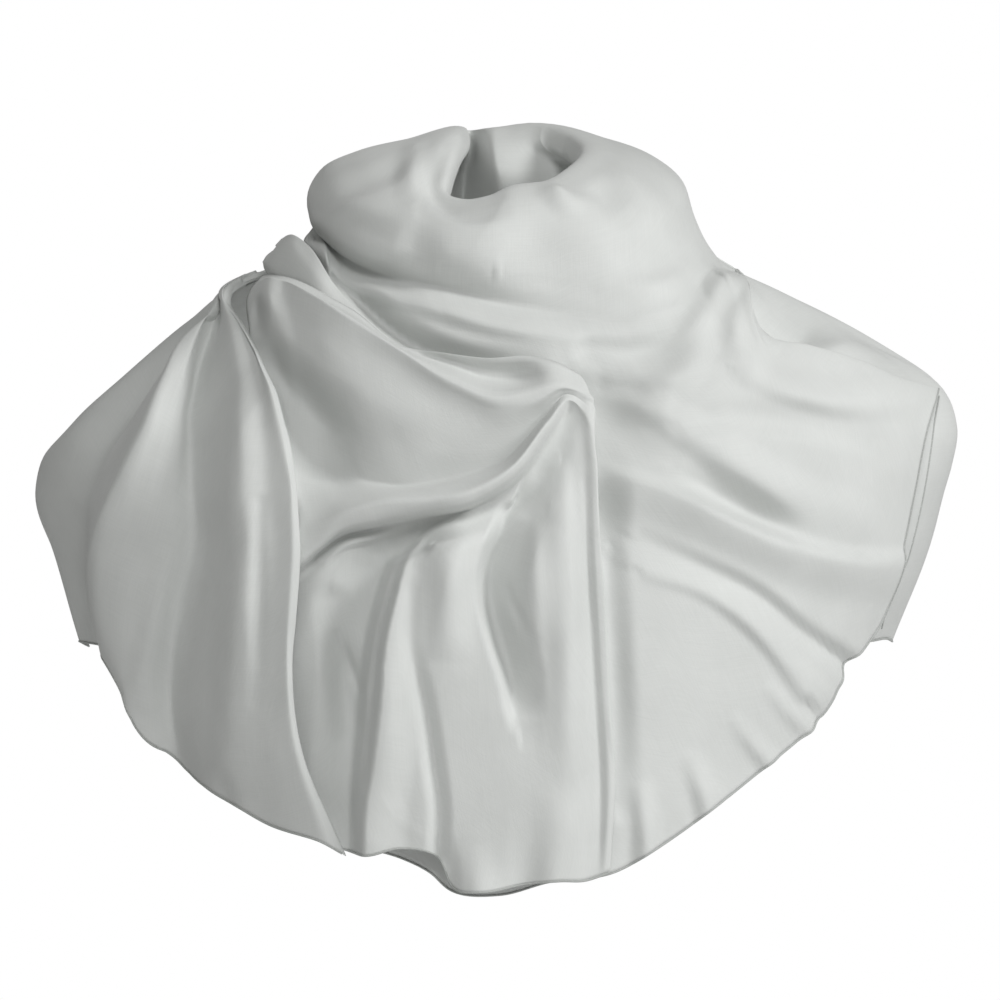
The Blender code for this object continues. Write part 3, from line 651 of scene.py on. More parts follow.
WRAP_FOLDS = (
    # bright roll left of the opening and along its front
    Fold(((-26, 72), (-34, 61), (-40, 50), (-39, 40), (-30, 32), (-15, 30), (4, 35)), (2, 4.5, 4, 0.2),
         (8, 9), (9, 12)),
    Fold(((-48, 64), (-51, 51), (-50, 36)), (-2, -4, -1), (14, 14), (6, 6)),
    # where the wrap turns away from the light
    Fold(((-6, 29), (13, 18), (24, 5), (27, -15)), (2, 9, 5), (38, 44), (36, 40)),
    # soft upright ridge at the left and the hollow left of it
    Fold(((-45, 24), (-50, 10), (-51, -5)), (0.5, 2.5, 1.5), (12, 14), (20, 22)),
    Fold(((-95, 16), (-76, 7), (-59, 2)), (-1, -4, -1), (12, 14), (12, 12)),
    # two short fine creases
    Fold(((-3, 3), (-4, -3), (-4, -10)), (-0.4, -1.8, -0.4), (2.5, 2.5), (2, 2), 0.6),
    Fold(((-38, 2), (-39, -3), (-39, -7)), (-0.2, -0.7, -0.2), (3, 3), (2.5, 2.5), 0.4),
    # folds from the left side towards the top
    Fold(((-105, 33), (-87, 45), (-63, 54), (-48, 61)), (1, 3, 1), (10, 11), (10, 11)),
    Fold(((-108, 22), (-90, 29), (-67, 31), (-54, 27)), (-1, -2.5, -0.5), (9, 11), (9, 11)),
    # hollow where the front edge meets the fold from the back
    Fold(((17, 46), (25, 43), (35, 36), (46, 33)), (-1, -5, -3.5, -0.5), (8, 9), (8, 9), 0.2),
    Fold(((48, 50), (57, 41), (66, 29)), (1, 3.5, 1), (12, 16), (12, 16)),
    # soft folds over the right side
    Fold(((53, 55), (73, 41), (92, 18)), (-1, -3, -1), (14, 16), (14, 16)),
    Fold(((59, -11), (81, -14), (104, -7)), (-1, -3, -1), (12, 12), (12, 12)),
)
INNER_FOLDS = (
    # the back's inner wall: a deep upright crease, and a full bulge right of it
    Fold(((-22, 83), (-23, 59), (-25, 28)), (-10, -32, -36), (14, 16), (12, 14), 0.2),
    Fold(((-5, 85), (-5, 64), (-1, 42), (2, 28)), (6, 32, 32, 24), (14, 16), (30, 32)),
    Fold(((20, 85), (22, 59), (24, 28)), (3, 16, 13), (26, 28), (26, 28)),
)
BACK_WRAP_FOLDS = (
    # angle and height behind, where the wrap's turns lie round the neck
    Fold(((100, 30), (140, 40), (180, 34), (220, 44), (255, 34)), (2, 4, 2), (12, 14), (10, 12)),
    Fold(((105, 14), (150, 22), (190, 14), (230, 24)), (-2, -3.5, -2), (8, 8), (10, 10), 0.3),
    Fold(((120, 58), (160, 64), (205, 58), (240, 64)), (-1, -3, -1), (8, 8), (8, 9), 0.3),
    Fold(((95, 0), (140, 2), (185, -2), (215, 4)), (1, 3, 1), (8, 8), (8, 8)),
)


def turn_read(table, angles):
    """Rows of a table of angles, read smoothly all the way round."""
    rows = np.array(table, float)
    whole = np.zeros(rows.shape[1])
    whole[0] = 360
    rows = np.vstack((rows - whole, rows, rows + whole))
    return [read_smoothly(rows[:, 0], rows[:, column], angles) for column in range(1, rows.shape[1])]


wrap_angle = np.linspace(-180, 180, WRAP_COLUMNS + 1)
wrap_turn = np.radians(wrap_angle)
foot_radius, foot_height, belly_radius, belly_height, straight = turn_read(WRAP_SECTIONS, wrap_angle)
rim = np.stack(turn_read(WRAP_RIM, wrap_angle), axis=-1)


def round_neck(radius, height):
    """Points round the neck at a radius and a height."""
    return np.stack((radius * np.sin(wrap_turn), -WRAP_DEPTH_SHARE * radius * np.cos(wrap_turn),
                     height + 0 * wrap_turn), axis=-1)


belly = round_neck(belly_radius, belly_height)
foot_line = round_neck(foot_radius, foot_height)
# to the right the crease fades: there the wrap's foot lies on the front stretch itself
flush = np.clip((wrap_angle - CREASE_FADES[0]) / (CREASE_FADES[1] - CREASE_FADES[0]), 0, 1)
flush = flush * np.clip((FLUSH_ENDS[1] - wrap_angle) / (FLUSH_ENDS[1] - FLUSH_ENDS[0]), 0, 1)
flush = ease(flush)[:, None]
on_front = from_front(foot_line[:, [0, 2]]).T
front_spot = figure_points(*on_front) + FRONT_LIFT * lift_directions(*on_front)
foot_line = foot_line + flush * (front_spot - foot_line)
stations = [foot_line,
            (foot_line + belly) / 2 + round_neck(FOOT_SWELL[0] * (1 - flush[:, 0]), -FOOT_SWELL[1]),
            belly]
for lean in np.radians(RIM_READS):
    spot = rim + (belly - rim) * (math.cos(lean) ** straight)[:, None]
    spot[:, 2] = belly[:, 2] + (rim[:, 2] - belly[:, 2]) * math.sin(lean) ** straight
    stations.append(spot)
under_rim = rim + (0, 0, -RIM_TURN[1])
under_rim[:, :2] *= 1 - RIM_TURN[0] / np.linalg.norm(rim[:, :2], axis=1, keepdims=True)
inside, lowest = (round_neck(NECK_RADIUS, rim[:, 2] - drop) for drop in NECK_DROPS)
stations += [rim, under_rim, (under_rim + inside) / 2 + (0, 0, -INSIDE_SAG), inside, lowest]
profiles = np.array(stations).transpose(1, 0, 2)
share = np.linspace(0, 1, WRAP_ROWS + 1)
wrap_points = np.array([along(profile, share, profile) for profile in profiles])
square = -np.cross(np.gradient(wrap_points, axis=0), np.gradient(wrap_points, axis=1))
square /= np.linalg.norm(square, axis=-1, keepdims=True) + 1e-9
share = share[None, :]
facing = np.cos(wrap_turn)[:, None]
outer = np.clip((OUTER_END[0] - share) / OUTER_END[1], 0, 1)
ahead = np.clip(facing / SIDE_FADE, 0, 1) * np.clip(share / FOOT_FADE, 0, 1)
wrap_lift = outer * ahead * fold_heights(wrap_points[..., 0], wrap_points[..., 2], WRAP_FOLDS)
round_angle = np.where(wrap_angle < 0, wrap_angle + 360, wrap_angle)[:, None] + 0 * share
behind = np.clip(-facing / SIDE_FADE, 0, 1) * outer * np.clip(share / FOOT_FADE, 0, 1)
wrap_lift += behind * fold_heights(round_angle, wrap_points[..., 2], BACK_WRAP_FOLDS)
wrap_points = wrap_points + square * wrap_lift[..., None]
within = np.clip((share - INNER_START[0]) / INNER_START[1], 0, 1) * np.clip(-facing / INNER_SIDE_FADE, 0, 1)
wrap_points[..., 1] -= within * fold_heights(wrap_points[..., 0], wrap_points[..., 2], INNER_FOLDS)
wrap_points[-1] = wrap_points[0]

RIGHT_FRONT_FOLDS = (
    # fine dark line right under the wrap, the light band below it, and its lower crease
    Fold(((-109, 29), (-102, 14), (-90, 0), (-71, -9), (-42, -12), (-14, -20), (15, -26), (39, -29),
         (61, -28)), (-3, -5, -4, -3, -0.5), (4, 3), (5, 5), 0.7),
    Fold(((-112, 16), (-102, 3), (-88, -10), (-63, -18), (-36, -25), (-3, -34), (31, -38), (70, -39)),
         (3, 9, 8, 5, 0), (8, 10), (10, 18), 0.2),
    Fold(((-113, 10), (-96, -8), (-79, -23), (-66, -35), (-50, -46), (-33, -54), (-8, -59), (24, -61)),
         (-14, -20, -14, 0), (5, 10), (14, 16), 0.4),
    # hollow beside the lip of the swag
    Fold(((48, -49), (64, -52), (92, -49), (120, -36)), (-4.5, -7.5, -1.5), (14, 18), (14, 16)),
    Fold(((36, -55), (44, -71), (46, -92), (46, -113)), (-2, -14, -15, -6), (16, 16), (16, 76)),
    Fold(((57, -66), (73, -69), (91, -76)), (-2, -5, -1), (12, 12), (14, 14)),
    # ridge that runs out to the right edge, with the deep shadow above it
    Fold(((55, -115), (76, -122), (103, -132), (127, -144), (151, -153), (173, -161), (196, -165),
         (221, -163)), (1, 7, 11, 10, 3), (26, 28), (7, 8), 0.3),
    Fold(((96, -115), (116, -127), (133, -136), (148, -145), (165, -154)), (-1, -8, -9, -1), (10, 10),
         (18, 16), 0.2),
    # band that falls back below the ridge, and the light step under it
    Fold(((76, -154), (109, -169), (141, -185), (169, -208), (191, -223)), (-1.5, -7.5, -6), (20, 22),
         (9, 8), 0.2),
    Fold(((80, -172), (110, -182), (133, -197), (152, -217), (165, -238)), (1.5, 6, 4.5), (7, 8),
         (26, 26), 0.2),
    # dark hollow beside the folded edge
    Fold(((48, -119), (50, -138), (51, -163)), (-5, -11, -3), (10, 10), (26, 20)),
    Fold(((57, -165), (60, -232), (62, -300)), (-3, -6, -3), (8, 8), (14, 16)),
    # hidden trough under the one in the middle of the fall
    Fold(((-4, -138), (-9, -179), (-2, -210), (4, -240)), (-3, -12, -11, -2), (18, 18), (26, 24)),
    # folds that fan out from the corner at the right of the neck
    Fold(((124, -14), (128, -26), (127, -48)), (1.5, 6, 1.5), (10, 16), (10, 14)),
    Fold(((129, -13), (136, -24), (143, -39), (150, -45)), (1.5, 5, 2), (5, 6), (5, 6), 0.3),
    Fold(((116, -4), (98, -28), (76, -45), (53, -53)), (-1.5, -4, -1.5), (12, 16), (10, 14)),
    Fold(((118, -6), (111, -36), (94, -62), (76, -76)), (1.5, 4.5, 1.5), (12, 18), (12, 18)),
    # broad soft light over the shoulder
    Fold(((132, -60), (160, -71), (193, -78), (224, -78)), (1.5, 4.5, 1.5), (10, 12), (16, 18)),
    Fold(((98, -90), (126, -86), (165, -89), (199, -98)), (-1.5, -4, -1.5), (10, 12), (14, 16)),
    Fold(((81, -78), (115, -101), (154, -126), (193, -143)), (1.5, 5, 1.5), (14, 18), (14, 18)),
    # ripples at the hem
    Fold(((129, -255), (143, -273), (152, -284)), (1.5, 5, 6), (8, 9), (7, 8), 0.3),
    Fold(((148, -238), (163, -256), (172, -265)), (1.5, 3.5, 4), (7, 8), (7, 8), 0.3),
    Fold(((104, -277), (113, -300), (116, -313)), (1.5, 6, 7.5), (9, 12), (9, 12)),
    Fold(((76, -294), (79, -316), (80, -332)), (1.5, 6, 7.5), (9, 12), (9, 12)),
    Fold(((165, -210), (181, -226), (191, -238)), (1, 3, 3), (8, 8), (8, 9)),
)
PANEL_BOTTOM = ((-84, -323), (-57, -330), (-41, -338), (-31, -347), (-3, -350), (24, -343), (60, -338),
                (84, -325), (109, -308), (146, -279), (167, -259), (188, -226), (200, -209), (206, -200),
                (218, -161), (226, -124), (233, -92), (240, -72))
PANEL_LEFT = ((-113, 14), (-108, -14), (-86, -64), (-63, -143), (-68, -244), (-84, -323))
PANEL_RIGHT = ((118, 1), (126, -10), (137, -30), (146, -42), (169, -48), (199, -58), (222, -68), (240, -72))

first = int(np.searchsorted(wrap_angle, PANEL_FIRST))
last = int(np.searchsorted(wrap_angle, PANEL_LAST))
foot = wrap_points[first:last + 1, 0]
crease = foot[:, [0, 2]]
across = np.linspace(0, 1, len(crease))
down = np.linspace(0, 1, PANEL_ROWS + 1)
bottom = along(PANEL_BOTTOM, across)[None]
left = along(PANEL_LEFT, down)[:, None]
right = along(PANEL_RIGHT, down)[:, None]
left = left + (crease[0] - left[0]) * (1 - down[:, None, None]) ** 2
right = right + (crease[-1] - right[0]) * (1 - down[:, None, None]) ** 2
u = across[None, :, None]
v = down[:, None, None]
flat_front = ((1 - v) * crease[None] + v * bottom + (1 - u) * left + u * right
              - ((1 - u) * (1 - v) * crease[0] + u * (1 - v) * crease[-1]
                 + (1 - u) * v * bottom[0, 0] + u * v * bottom[0, -1]))
grid = from_front(flat_front)
panel = figure_points(grid[..., 0], grid[..., 1])
panel_out = lift_directions(grid[..., 0], grid[..., 1])
below = np.linalg.norm(np.diff(flat_front, axis=0), axis=2)
below = np.vstack((np.zeros((1, len(crease))), np.cumsum(below, axis=0)))
settle = ease(np.clip(1 - below / VALLEY_FADE, 0, 1))[..., None]
shown = np.clip(np.cos(np.radians(grid[..., 0])) / FRONT_FADE, 0.0, 1.0)
lift = FRONT_LIFT + shown * fold_heights(panel[..., 0], panel[..., 2], RIGHT_FRONT_FOLDS)
panel = panel + panel_out * lift[..., None]
panel = lift_clear(panel, panel_out, (back_tree, under_tree))
panel = panel + settle * (foot - panel[0])[None]
panel_tree = search_tree(panel)
wrap = grid_sheet("wrap_and_right_front", wrap_points.transpose(1, 0, 2)[::-1])
front = grid_sheet("right_front", rolled(panel, panel_out, "right", radius=1.6, tail=3.0))
bpy.ops.object.select_all(action="DESELECT")
front.select_set(True)
wrap.select_set(True)
bpy.context.view_layer.objects.active = wrap
bpy.ops.object.join()
bpy.ops.object.mode_set(mode="EDIT")
bpy.ops.mesh.select_all(action="SELECT")
bpy.ops.mesh.remove_doubles(threshold=JOIN_WITHIN)
bpy.ops.object.mode_set(mode="OBJECT")
finish_sheet(wrap,
             nodes=["cowl", "right_front"], hems=[panel[-1]], outward=TO_FRONT)

# Shoulder tuck: a short rounded fold of the cloth between the wrap and the left
# shoulder. It stands free of the figure, so its edges are given in space.
TUCK_LINES = (
    # x, y and z, from its upper edge to its lower one
    ((-121, -16, 14), (-125, -36, 16), (-119, -52, 17), (-109, -66, 9), (-95, -84, -12), (-80, -98, -28),
     (-57, -112, -48)),
    ((-124, -22, 14), (-128, -42, 12), (-120, -60, 9), (-110, -76, -3), (-96, -92, -19),
     (-80, -106, -33), (-58, -117, -50)),
    ((-133, -20, 8), (-133, -44, 3), (-122, -66, -6), (-108, -84, -17), (-94, -98, -28),
     (-78, -108, -38), (-58, -118, -53)),
    ((-137, -18, 3), (-134, -42, -4), (-122, -60, -17), (-106, -78, -29), (-92, -90, -39),
     (-77, -99, -47), (-58, -110, -58)),
)
TUCK_COLUMNS = 60
TUCK_ROWS = 24
tuck_lines = np.array([along(line, np.linspace(0, 1, TUCK_COLUMNS + 1)) for line in TUCK_LINES])
gaps = np.linalg.norm(np.diff(tuck_lines, axis=0), axis=2).mean(axis=1)
stops = np.concatenate(([0.0], np.cumsum(gaps)))
tuck_points = read_smoothly(stops, tuck_lines, np.linspace(0, stops[-1], TUCK_ROWS))
tuck_out = np.zeros_like(tuck_points)
tuck_out[..., 1] = -1.0
tuck_points = lift_clear(tuck_points, tuck_out, (panel_tree,))
tuck_tree = search_tree(tuck_points)
tuck = grid_sheet("shoulder_tuck_fold", rolled(tuck_points, tuck_out, "top", radius=2.0, tail=4.0))
finish_sheet(tuck,
             nodes=["shoulder_tuck"])

# Swag and centre fall: the stretch from the pinch at the left shoulder, in a deep
# swag across the chest, that turns over at the right and falls to the lower hem.
SWAG_LINES = (
    # x, z and fold height as seen from the front, from the top edge to the hem
    ((-136, -5, -10), (-130, -5, -12), (-115, -9, -12), (-87, -24, -12), (-57, -46, -9.5),
     (-35, -50, -1), (-10, -53, 0), (14, -52, 1.5), (29, -55, 1.5), (40, -61, 0)),
    ((-138, -7, -8), (-132, -7, -5), (-115, -12, -6), (-86, -28, -6), (-56, -48, -5), (-31, -55, -6),
     (-8, -62, -9.5), (8, -63, -8.5), (24, -61, 4.5), (43, -65, 1.5)),
    ((-143, -13, -8), (-136, -8, 10), (-124, -9, 11.5), (-106, -18, 13), (-85, -31, 13), (-57, -49, 13),
     (-28, -66, 11.5), (-5, -74, 10), (14, -71, 8.5), (29, -67, 8.5), (45, -69, 3)),
    ((-145, -18, -8), (-139, -13, 10), (-120, -20, 10), (-98, -36, 11.5), (-76, -49, 10),
     (-53, -60, 8.5), (-28, -73, 7), (-3, -82, 6), (17, -77, 7), (32, -69, 8), (46, -72, 4)),
    ((-144, -32, -8), (-136, -31, 4), (-115, -45, 5), (-95, -61, 7), (-76, -72, 7), (-53, -81, 5),
     (-28, -89, 1.5), (0, -92, 0), (20, -80, 3), (32, -71, 6), (48, -75, 4)),
    ((-142, -60, -10), (-133, -60, -15), (-117, -77, -23), (-98, -92, -25), (-80, -98, -8),
     (-56, -101, -2.5), (-28, -104, -3.5), (2, -100, -3.5), (21, -83, 0), (34, -72, 5), (48, -78, 3)),
    ((-138, -87, -10), (-128, -87, -8), (-116, -105, -18), (-100, -115, -23), (-82, -119, -14),
     (-59, -123, -9.5), (-31, -119, -8.5), (0, -108, -6), (22, -85, -1), (34, -73, 4), (49, -81, 3)),
    ((-135, -124, -6), (-124, -124, -2.5), (-109, -136, 3), (-94, -132, 3), (-72, -128, 4.5),
     (-45, -126, 6), (-20, -122, 6), (2, -111, 4.5), (22, -87, 4.5), (35, -74, 5), (49, -83, 3)),
    ((-133, -154, -2), (-120, -154, 6), (-104, -148, 10), (-89, -139, 13), (-69, -133, 14.5),
     (-43, -131, 14.5), (-20, -127, 14.5), (3, -114, 13), (24, -88, 10), (35, -76, 6), (49, -87, 3)),
    ((-132, -169, -2), (-118, -169, 6), (-105, -160, 7), (-91, -149, 8.5), (-70, -144, 8.5),
     (-43, -139, 8.5), (-18, -133, 8.5), (5, -118, 8.5), (25, -91, 8), (36, -77, 5), (49, -91, 3)),
    ((-131, -173, -4), (-117, -173, -2.5), (-104, -162, -5), (-90, -152, -6), (-70, -147, -7),
     (-42, -142, -8.5), (-17, -136, -9.5), (7, -121, -8.5), (27, -96, -3), (38, -81, 1), (49, -97, 3)),
    ((-130, -182, -4), (-116, -182, -2.5), (-102, -171, -1), (-89, -161, -3.5), (-69, -157, -6),
     (-41, -147, -6), (-14, -141, -7), (11, -127, -8.5), (29, -107, -4), (39, -94, 0), (50, -108, 3)),
    ((-130, -210, -4), (-115, -210, -3.5), (-98, -199, -5), (-83, -191, -6), (-67, -183, -1),
     (-39, -165, 3), (-12, -157, 3), (13, -151, -1), (31, -143, 0), (42, -137, 0), (51, -143, 0)),
    ((-132, -244, -5), (-116, -244, -5), (-98, -238, -6), (-80, -235, -5), (-63, -226, 1.5),
     (-36, -216, 3), (-10, -210, 1.5), (14, -206, 0), (32, -200, 1.5), (44, -194, -3), (54, -195, -3)),
    ((-130, -277, -5), (-115, -277, -3.5), (-97, -281, -3.5), (-79, -281, -2.5), (-61, -276, 3),
     (-36, -268, 1.5), (-10, -264, 0), (15, -259, 0), (34, -254, 1.5), (46, -250, -5), (57, -253, -5)),
    ((-116, -300, -4), (-108, -303, -2.5), (-92, -308, -2.5), (-78, -311, -1), (-59, -310, 3),
     (-36, -315, 1.5), (-11, -325, 0), (14, -321, 0), (34, -318, 1.5), (49, -314, -5), (60, -300, -5)),
    ((-102, -321, -4), (-96, -323, -2.5), (-90, -325, -2.5), (-78, -328, -1), (-58, -324, 3),
     (-38, -328, 1.5), (-27, -347, 0), (-12, -348, 0), (10, -344, 0), (31, -342, 1.5), (44, -342, -5),
     (57, -338, -5)),
)
CENTRE_FALL_FOLDS = (
    # tongue: crisp at its left edge, full in the middle, and its soft right crease
    Fold(((-33, -145), (-45, -153), (-54, -165), (-60, -185), (-66, -210), (-69, -244), (-73, -277),
         (-77, -302), (-78, -328)), (2, 12, 15, 15, 14), (4, 6), (22, 26), 0.35),
    Fold(((-45, -157), (-63, -163), (-73, -188), (-80, -221), (-83, -255), (-86, -294), (-86, -325)),
         (-9, -15, -15, -12), (24, 26), (6, 7), 0.2),
    Fold(((-51, -182), (-52, -210), (-44, -244), (-39, -277), (-36, -305), (-37, -328)),
         (-1, -4, -6, -5), (9, 8), (7, 8), 0.5),
    # bulge right of the tongue
    Fold(((-22, -144), (-29, -163), (-33, -188), (-34, -221)), (3, 12, 8, 1), (22, 22), (18, 20)),
    # trough in the middle of the fall, crisp at its left
    Fold(((2, -139), (-4, -154), (-9, -172), (-8, -191), (-3, -210), (3, -230), (7, -255)),
         (-6, -21, -22, -18, -2), (8, 7), (25, 19), 0.15),
    Fold(((22, -143), (18, -163), (18, -188), (20, -216)), (1, 5, 5, 1), (10, 12), (16, 18)),
    Fold(((1, -180), (7, -194), (15, -211)), (-1, -3, -0.5), (4, 5), (4, 5), 0.3),
    # soft ridge and line before the folded edge
    Fold(((31, -115), (34, -154), (38, -210), (41, -277)), (1.5, 5, 5, 1.5), (14, 18), (8, 9)),
    Fold(((44, -120), (45, -132), (46, -160), (50, -216), (53, -277), (53, -333)), (-0.5, -2, -2, -1),
         (5, 5), (3.5, 4), 0.5),
    Fold(((46, -76), (49, -115), (51, -165), (54, -232), (58, -288), (55, -334)), (1, 1.5, 1.5), (5, 5),
         (4, 4)),
    # second fold beside the lower ridge, at the left
    Fold(((-100, -166), (-89, -157), (-74, -153), (-57, -147)), (1.5, 5.5, 1.5), (3, 3), (6, 7), 0.3),
    # dark hollow between the left fall and the tongue, and its fine crease
    Fold(((-95, -188), (-91, -221), (-86, -260)), (-3, -7.5, -3), (14, 14), (12, 12)),
    Fold(((-93, -206), (-86, -223), (-78, -244)), (-1.5, -4, -1.5), (4, 4), (4, 4), 0.4),
    # dark slot at the pinch
    Fold(((-140, -13), (-138, -23), (-138, -35)), (-5, -14, -6), (8, 8), (7, 8), 0.3),
    # waves at the hem
    Fold(((-33, -322), (-32, -336), (-32, -349)), (-1, -4, -5), (8, 8), (8, 9)),
    Fold(((-17, -321), (-16, -335), (-15, -350)), (0.5, 2.5, 5), (12, 15), (14, 16)),
    Fold(((15, -306), (12, -326), (11, -346)), (-0.5, -2, -4), (14, 16), (14, 18)),
    Fold(((42, -328), (41, -335), (40, -343)), (0.5, 1.5, 2.5), (9, 10), (7, 8)),
)
swag_points, swag_out = draped([from_front(line) for line in SWAG_LINES], front_lift=21.0, side_lift=14.0,
                               folds=CENTRE_FALL_FOLDS, lower=(panel_tree, tuck_tree), cell=2.0,
                               straight=True)
swag_tree = search_tree(swag_points)
swag = grid_sheet("swag_and_centre_fall", rolled(swag_points, swag_out, "right", radius=1.3, tail=4.0))
finish_sheet(swag,
             nodes=["swag", "centre_fall"], hems=[swag_points[-1]], outward=TO_FRONT)

# Left fall: the pleated stretch over the left shoulder, gathered into the pinch at
# its top and fanned out to the hem, with its front edge rolled under.
LEFT_BACK_LINES = (
    # angle, height and fold height, down the back of the shoulder
    ((-114, 12, -6), (-114, -40, 0), (-114, -100, 0), (-114, -206, 0)),
    ((-101, 11, -6), (-101, -40, 2), (-101, -110, 3), (-100, -211, 3)),
    ((-92, 9, -6), (-92, -30, 0), (-93, -110, -2), (-93, -214, -1)),
)
LEFT_FRONT_LINES = (
    # x, z and fold height as seen from the front, on from there to the front edge
    ((-136, 3, -6), (-158, -22, 0), (-182, -40, 3), (-211, -66, 3), (-241, -96, 3), (-262, -117, 4),
     (-260, -137, 5), (-254, -165, 4), (-242, -210, 3)),
    ((-138, 1, -6), (-157, -26, -4), (-176, -44, -8), (-195, -64, -11), (-219, -95, -12),
     (-235, -123, -11), (-241, -145, -10), (-240, -174, -7), (-232, -214, -6)),
    ((-139, -1, -4), (-158, -31, 0), (-173, -49, 4), (-186, -70, 7), (-202, -97, 9), (-214, -126, 9),
     (-221, -150, 9), (-225, -178, 5), (-222, -212, 0)),
    ((-141, -1, -3), (-158, -31, 3), (-171, -50, 9), (-183, -71, 14), (-198, -98, 17), (-211, -127, 18),
     (-218, -151, 17), (-221, -179, 13), (-216, -217, 6)),
    ((-142, -2, -2), (-160, -32, 3), (-169, -54, 6), (-181, -76, 9), (-192, -102, 11), (-200, -133, 11),
     (-206, -166, 10), (-208, -201, 8), (-203, -241, 5)),
    ((-143, -2, -2), (-161, -34, 1), (-170, -55, 0), (-178, -78, 0), (-182, -105, -2), (-185, -138, -3),
     (-190, -178, -5), (-195, -211, -4), (-195, -263, -3)),
    ((-144, -3, -2), (-160, -34, -3), (-169, -57, -8), (-174, -78, -11), (-174, -105, -14),
     (-173, -133, -16), (-178, -183, -18), (-186, -221, -18), (-189, -250, -16), (-183, -280, -13)),
    ((-145, -3, -2), (-157, -31, -3), (-166, -56, -7), (-170, -78, -10), (-169, -105, -12),
     (-169, -136, -14), (-172, -183, -16), (-180, -221, -16), (-183, -253, -14), (-176, -284, -11)),
    ((-146, -4, -1), (-154, -30, 1), (-157, -53, 1), (-158, -76, 1), (-158, -104, 1), (-158, -137, 1),
     (-161, -182, -1), (-165, -221, -1), (-167, -255, -1), (-165, -290, -1)),
    ((-146, -4, 0), (-150, -29, 5), (-148, -53, 9), (-147, -76, 12), (-146, -104, 14), (-145, -137, 15),
     (-146, -182, 15), (-150, -221, 15), (-152, -260, 14), (-154, -298, 11)),
    ((-147, -6, 0), (-147, -31, 4), (-139, -53, 7), (-135, -76, 9), (-132, -104, 10), (-129, -137, 10),
     (-130, -182, 10), (-132, -221, 10), (-132, -266, 10), (-130, -312, 8)),
    ((-147, -7, 1), (-146, -34, 5), (-139, -50, 9), (-130, -73, 12), (-124, -99, 12), (-119, -123, 12),
     (-118, -152, 12), (-120, -195, 12), (-121, -221, 12), (-118, -266, 12), (-103, -320, 9)),
    ((-147, -9, 1), (-145, -35, 3), (-138, -50, 7), (-127, -74, 9), (-120, -99, 9), (-116, -123, 9),
     (-114, -152, 9), (-116, -195, 9), (-118, -221, 9), (-113, -269, 9), (-90, -327, 5)),
)
LEFT_FOLDS = (
    # lesser creases between the pleats, and the waves of the hem
    Fold(((-155, -87), (-153, -132), (-155, -176)), (0.5, 1.5, 0.5), (6, 7), (7, 8)),
    Fold(((-136, -132), (-136, -188), (-138, -244)), (-1, -2.5, -1), (5, 6), (5, 6)),
    Fold(((-217, -132), (-221, -176), (-221, -210)), (-1, -3, -1.5), (6, 7), (6, 7)),
    Fold(((-188, -165), (-194, -210), (-198, -244)), (1, 3, 3), (8, 9), (7, 8)),
    Fold(((-158, -277), (-156, -291), (-154, -300)), (0, -4.5, -6), (7, 8), (7, 8)),
    Fold(((-199, -244), (-198, -259), (-195, -270)), (0, 4.5, 6), (6, 7), (6, 7)),
)
left_lines = [*LEFT_BACK_LINES, *(from_front(line) for line in LEFT_FRONT_LINES)]
left_points, left_out = draped(left_lines, front_lift=25.0, side_lift=2.5, folds=LEFT_FOLDS,
                               lower=(back_tree, panel_tree, swag_tree))
left_rolled = rolled(left_points, left_out, "bottom", radius=2.6, tail=6.0)
left_fall = grid_sheet("left_fall_drape", left_rolled.transpose(1, 0, 2))
finish_sheet(left_fall,
             nodes=["left_fall"], hems=[left_points[:, -1]], outward=TO_FRONT)

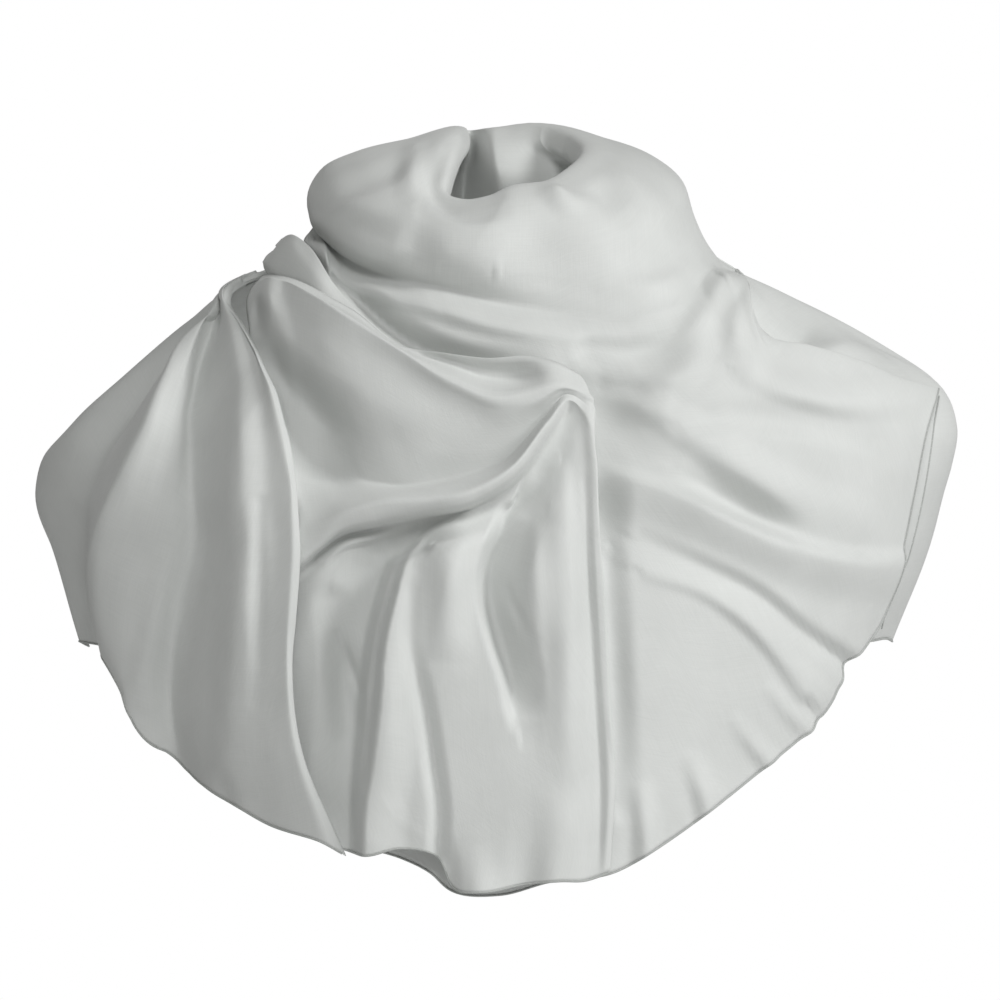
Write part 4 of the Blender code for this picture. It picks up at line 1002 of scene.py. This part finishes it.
# Studio: a pale round floor, a large soft light from the upper right, a second one
# in front, and a white surround that gives only a little light of its own.
FLOOR_LEVEL = -0.62         # the studio is in metres
FLOOR_RADIUS = 2.2
FLOOR_THICKNESS = 0.03
SURROUND_LIGHT = 0.20
SCARF_MIDDLE = (0, 0, -0.12)        # where the lights aim
bpy.ops.object.select_all(action="DESELECT")
bpy.ops.mesh.primitive_circle_add(vertices=96, radius=FLOOR_RADIUS, fill_type="NGON",
                                  location=(0, 0, FLOOR_LEVEL))
floor = bpy.context.object
floor.name = "studio_floor"
bpy.ops.object.mode_set(mode="EDIT")
bpy.ops.mesh.select_all(action="SELECT")
bpy.ops.mesh.extrude_region_move(TRANSFORM_OT_translate={"value": (0, 0, -FLOOR_THICKNESS)})
bpy.ops.mesh.select_all(action="SELECT")
bpy.ops.mesh.normals_make_consistent(inside=False)
bpy.ops.object.mode_set(mode="OBJECT")
paper = bpy.data.materials.new("studio paper")
paper.use_nodes = True
paper_shader = paper.node_tree.nodes["Principled BSDF"].inputs
paper_shader["Base Color"].default_value = (0.90, 0.90, 0.90, 1)
paper_shader["Roughness"].default_value = 0.9
floor.data.materials.append(paper)


def soft_light(name, place, size, power):
    """Square soft light at a place, turned to the scarf."""
    bpy.ops.object.light_add(type="AREA", location=place)
    light = bpy.context.object
    light.name = name
    light.data.shape = "SQUARE"
    light.data.size = size
    light.data.energy = power
    light.rotation_euler = (Vector(SCARF_MIDDLE) - Vector(place)).to_track_quat("-Z", "Y").to_euler()


soft_light("key_light", (2.8, -1.5, 1.8), size=1.2, power=74)
soft_light("front_light", (0.3, -2.8, 1.7), size=1.0, power=38)
world = bpy.data.worlds.new("surround")
world.use_nodes = True
surround = world.node_tree
lighting = surround.nodes["Background"]
lighting.inputs["Color"].default_value = (1.0, 1.0, 0.975, 1)
lighting.inputs["Strength"].default_value = SURROUND_LIGHT
seen = add_node(surround, "ShaderNodeBackground", "seen surround", {"Color": (1.0, 1.0, 1.0, 1)})
rays = add_node(surround, "ShaderNodeLightPath", "what the camera sees")
choice = add_node(surround, "ShaderNodeMixShader", "seen or lighting",
                  [rays.outputs["Is Camera Ray"], lighting.outputs[0], seen.outputs[0]])
surround.links.new(choice.outputs[0], surround.nodes["World Output"].inputs["Surface"])
bpy.context.scene.world = world
bpy.context.scene.view_settings.view_transform = "Standard"
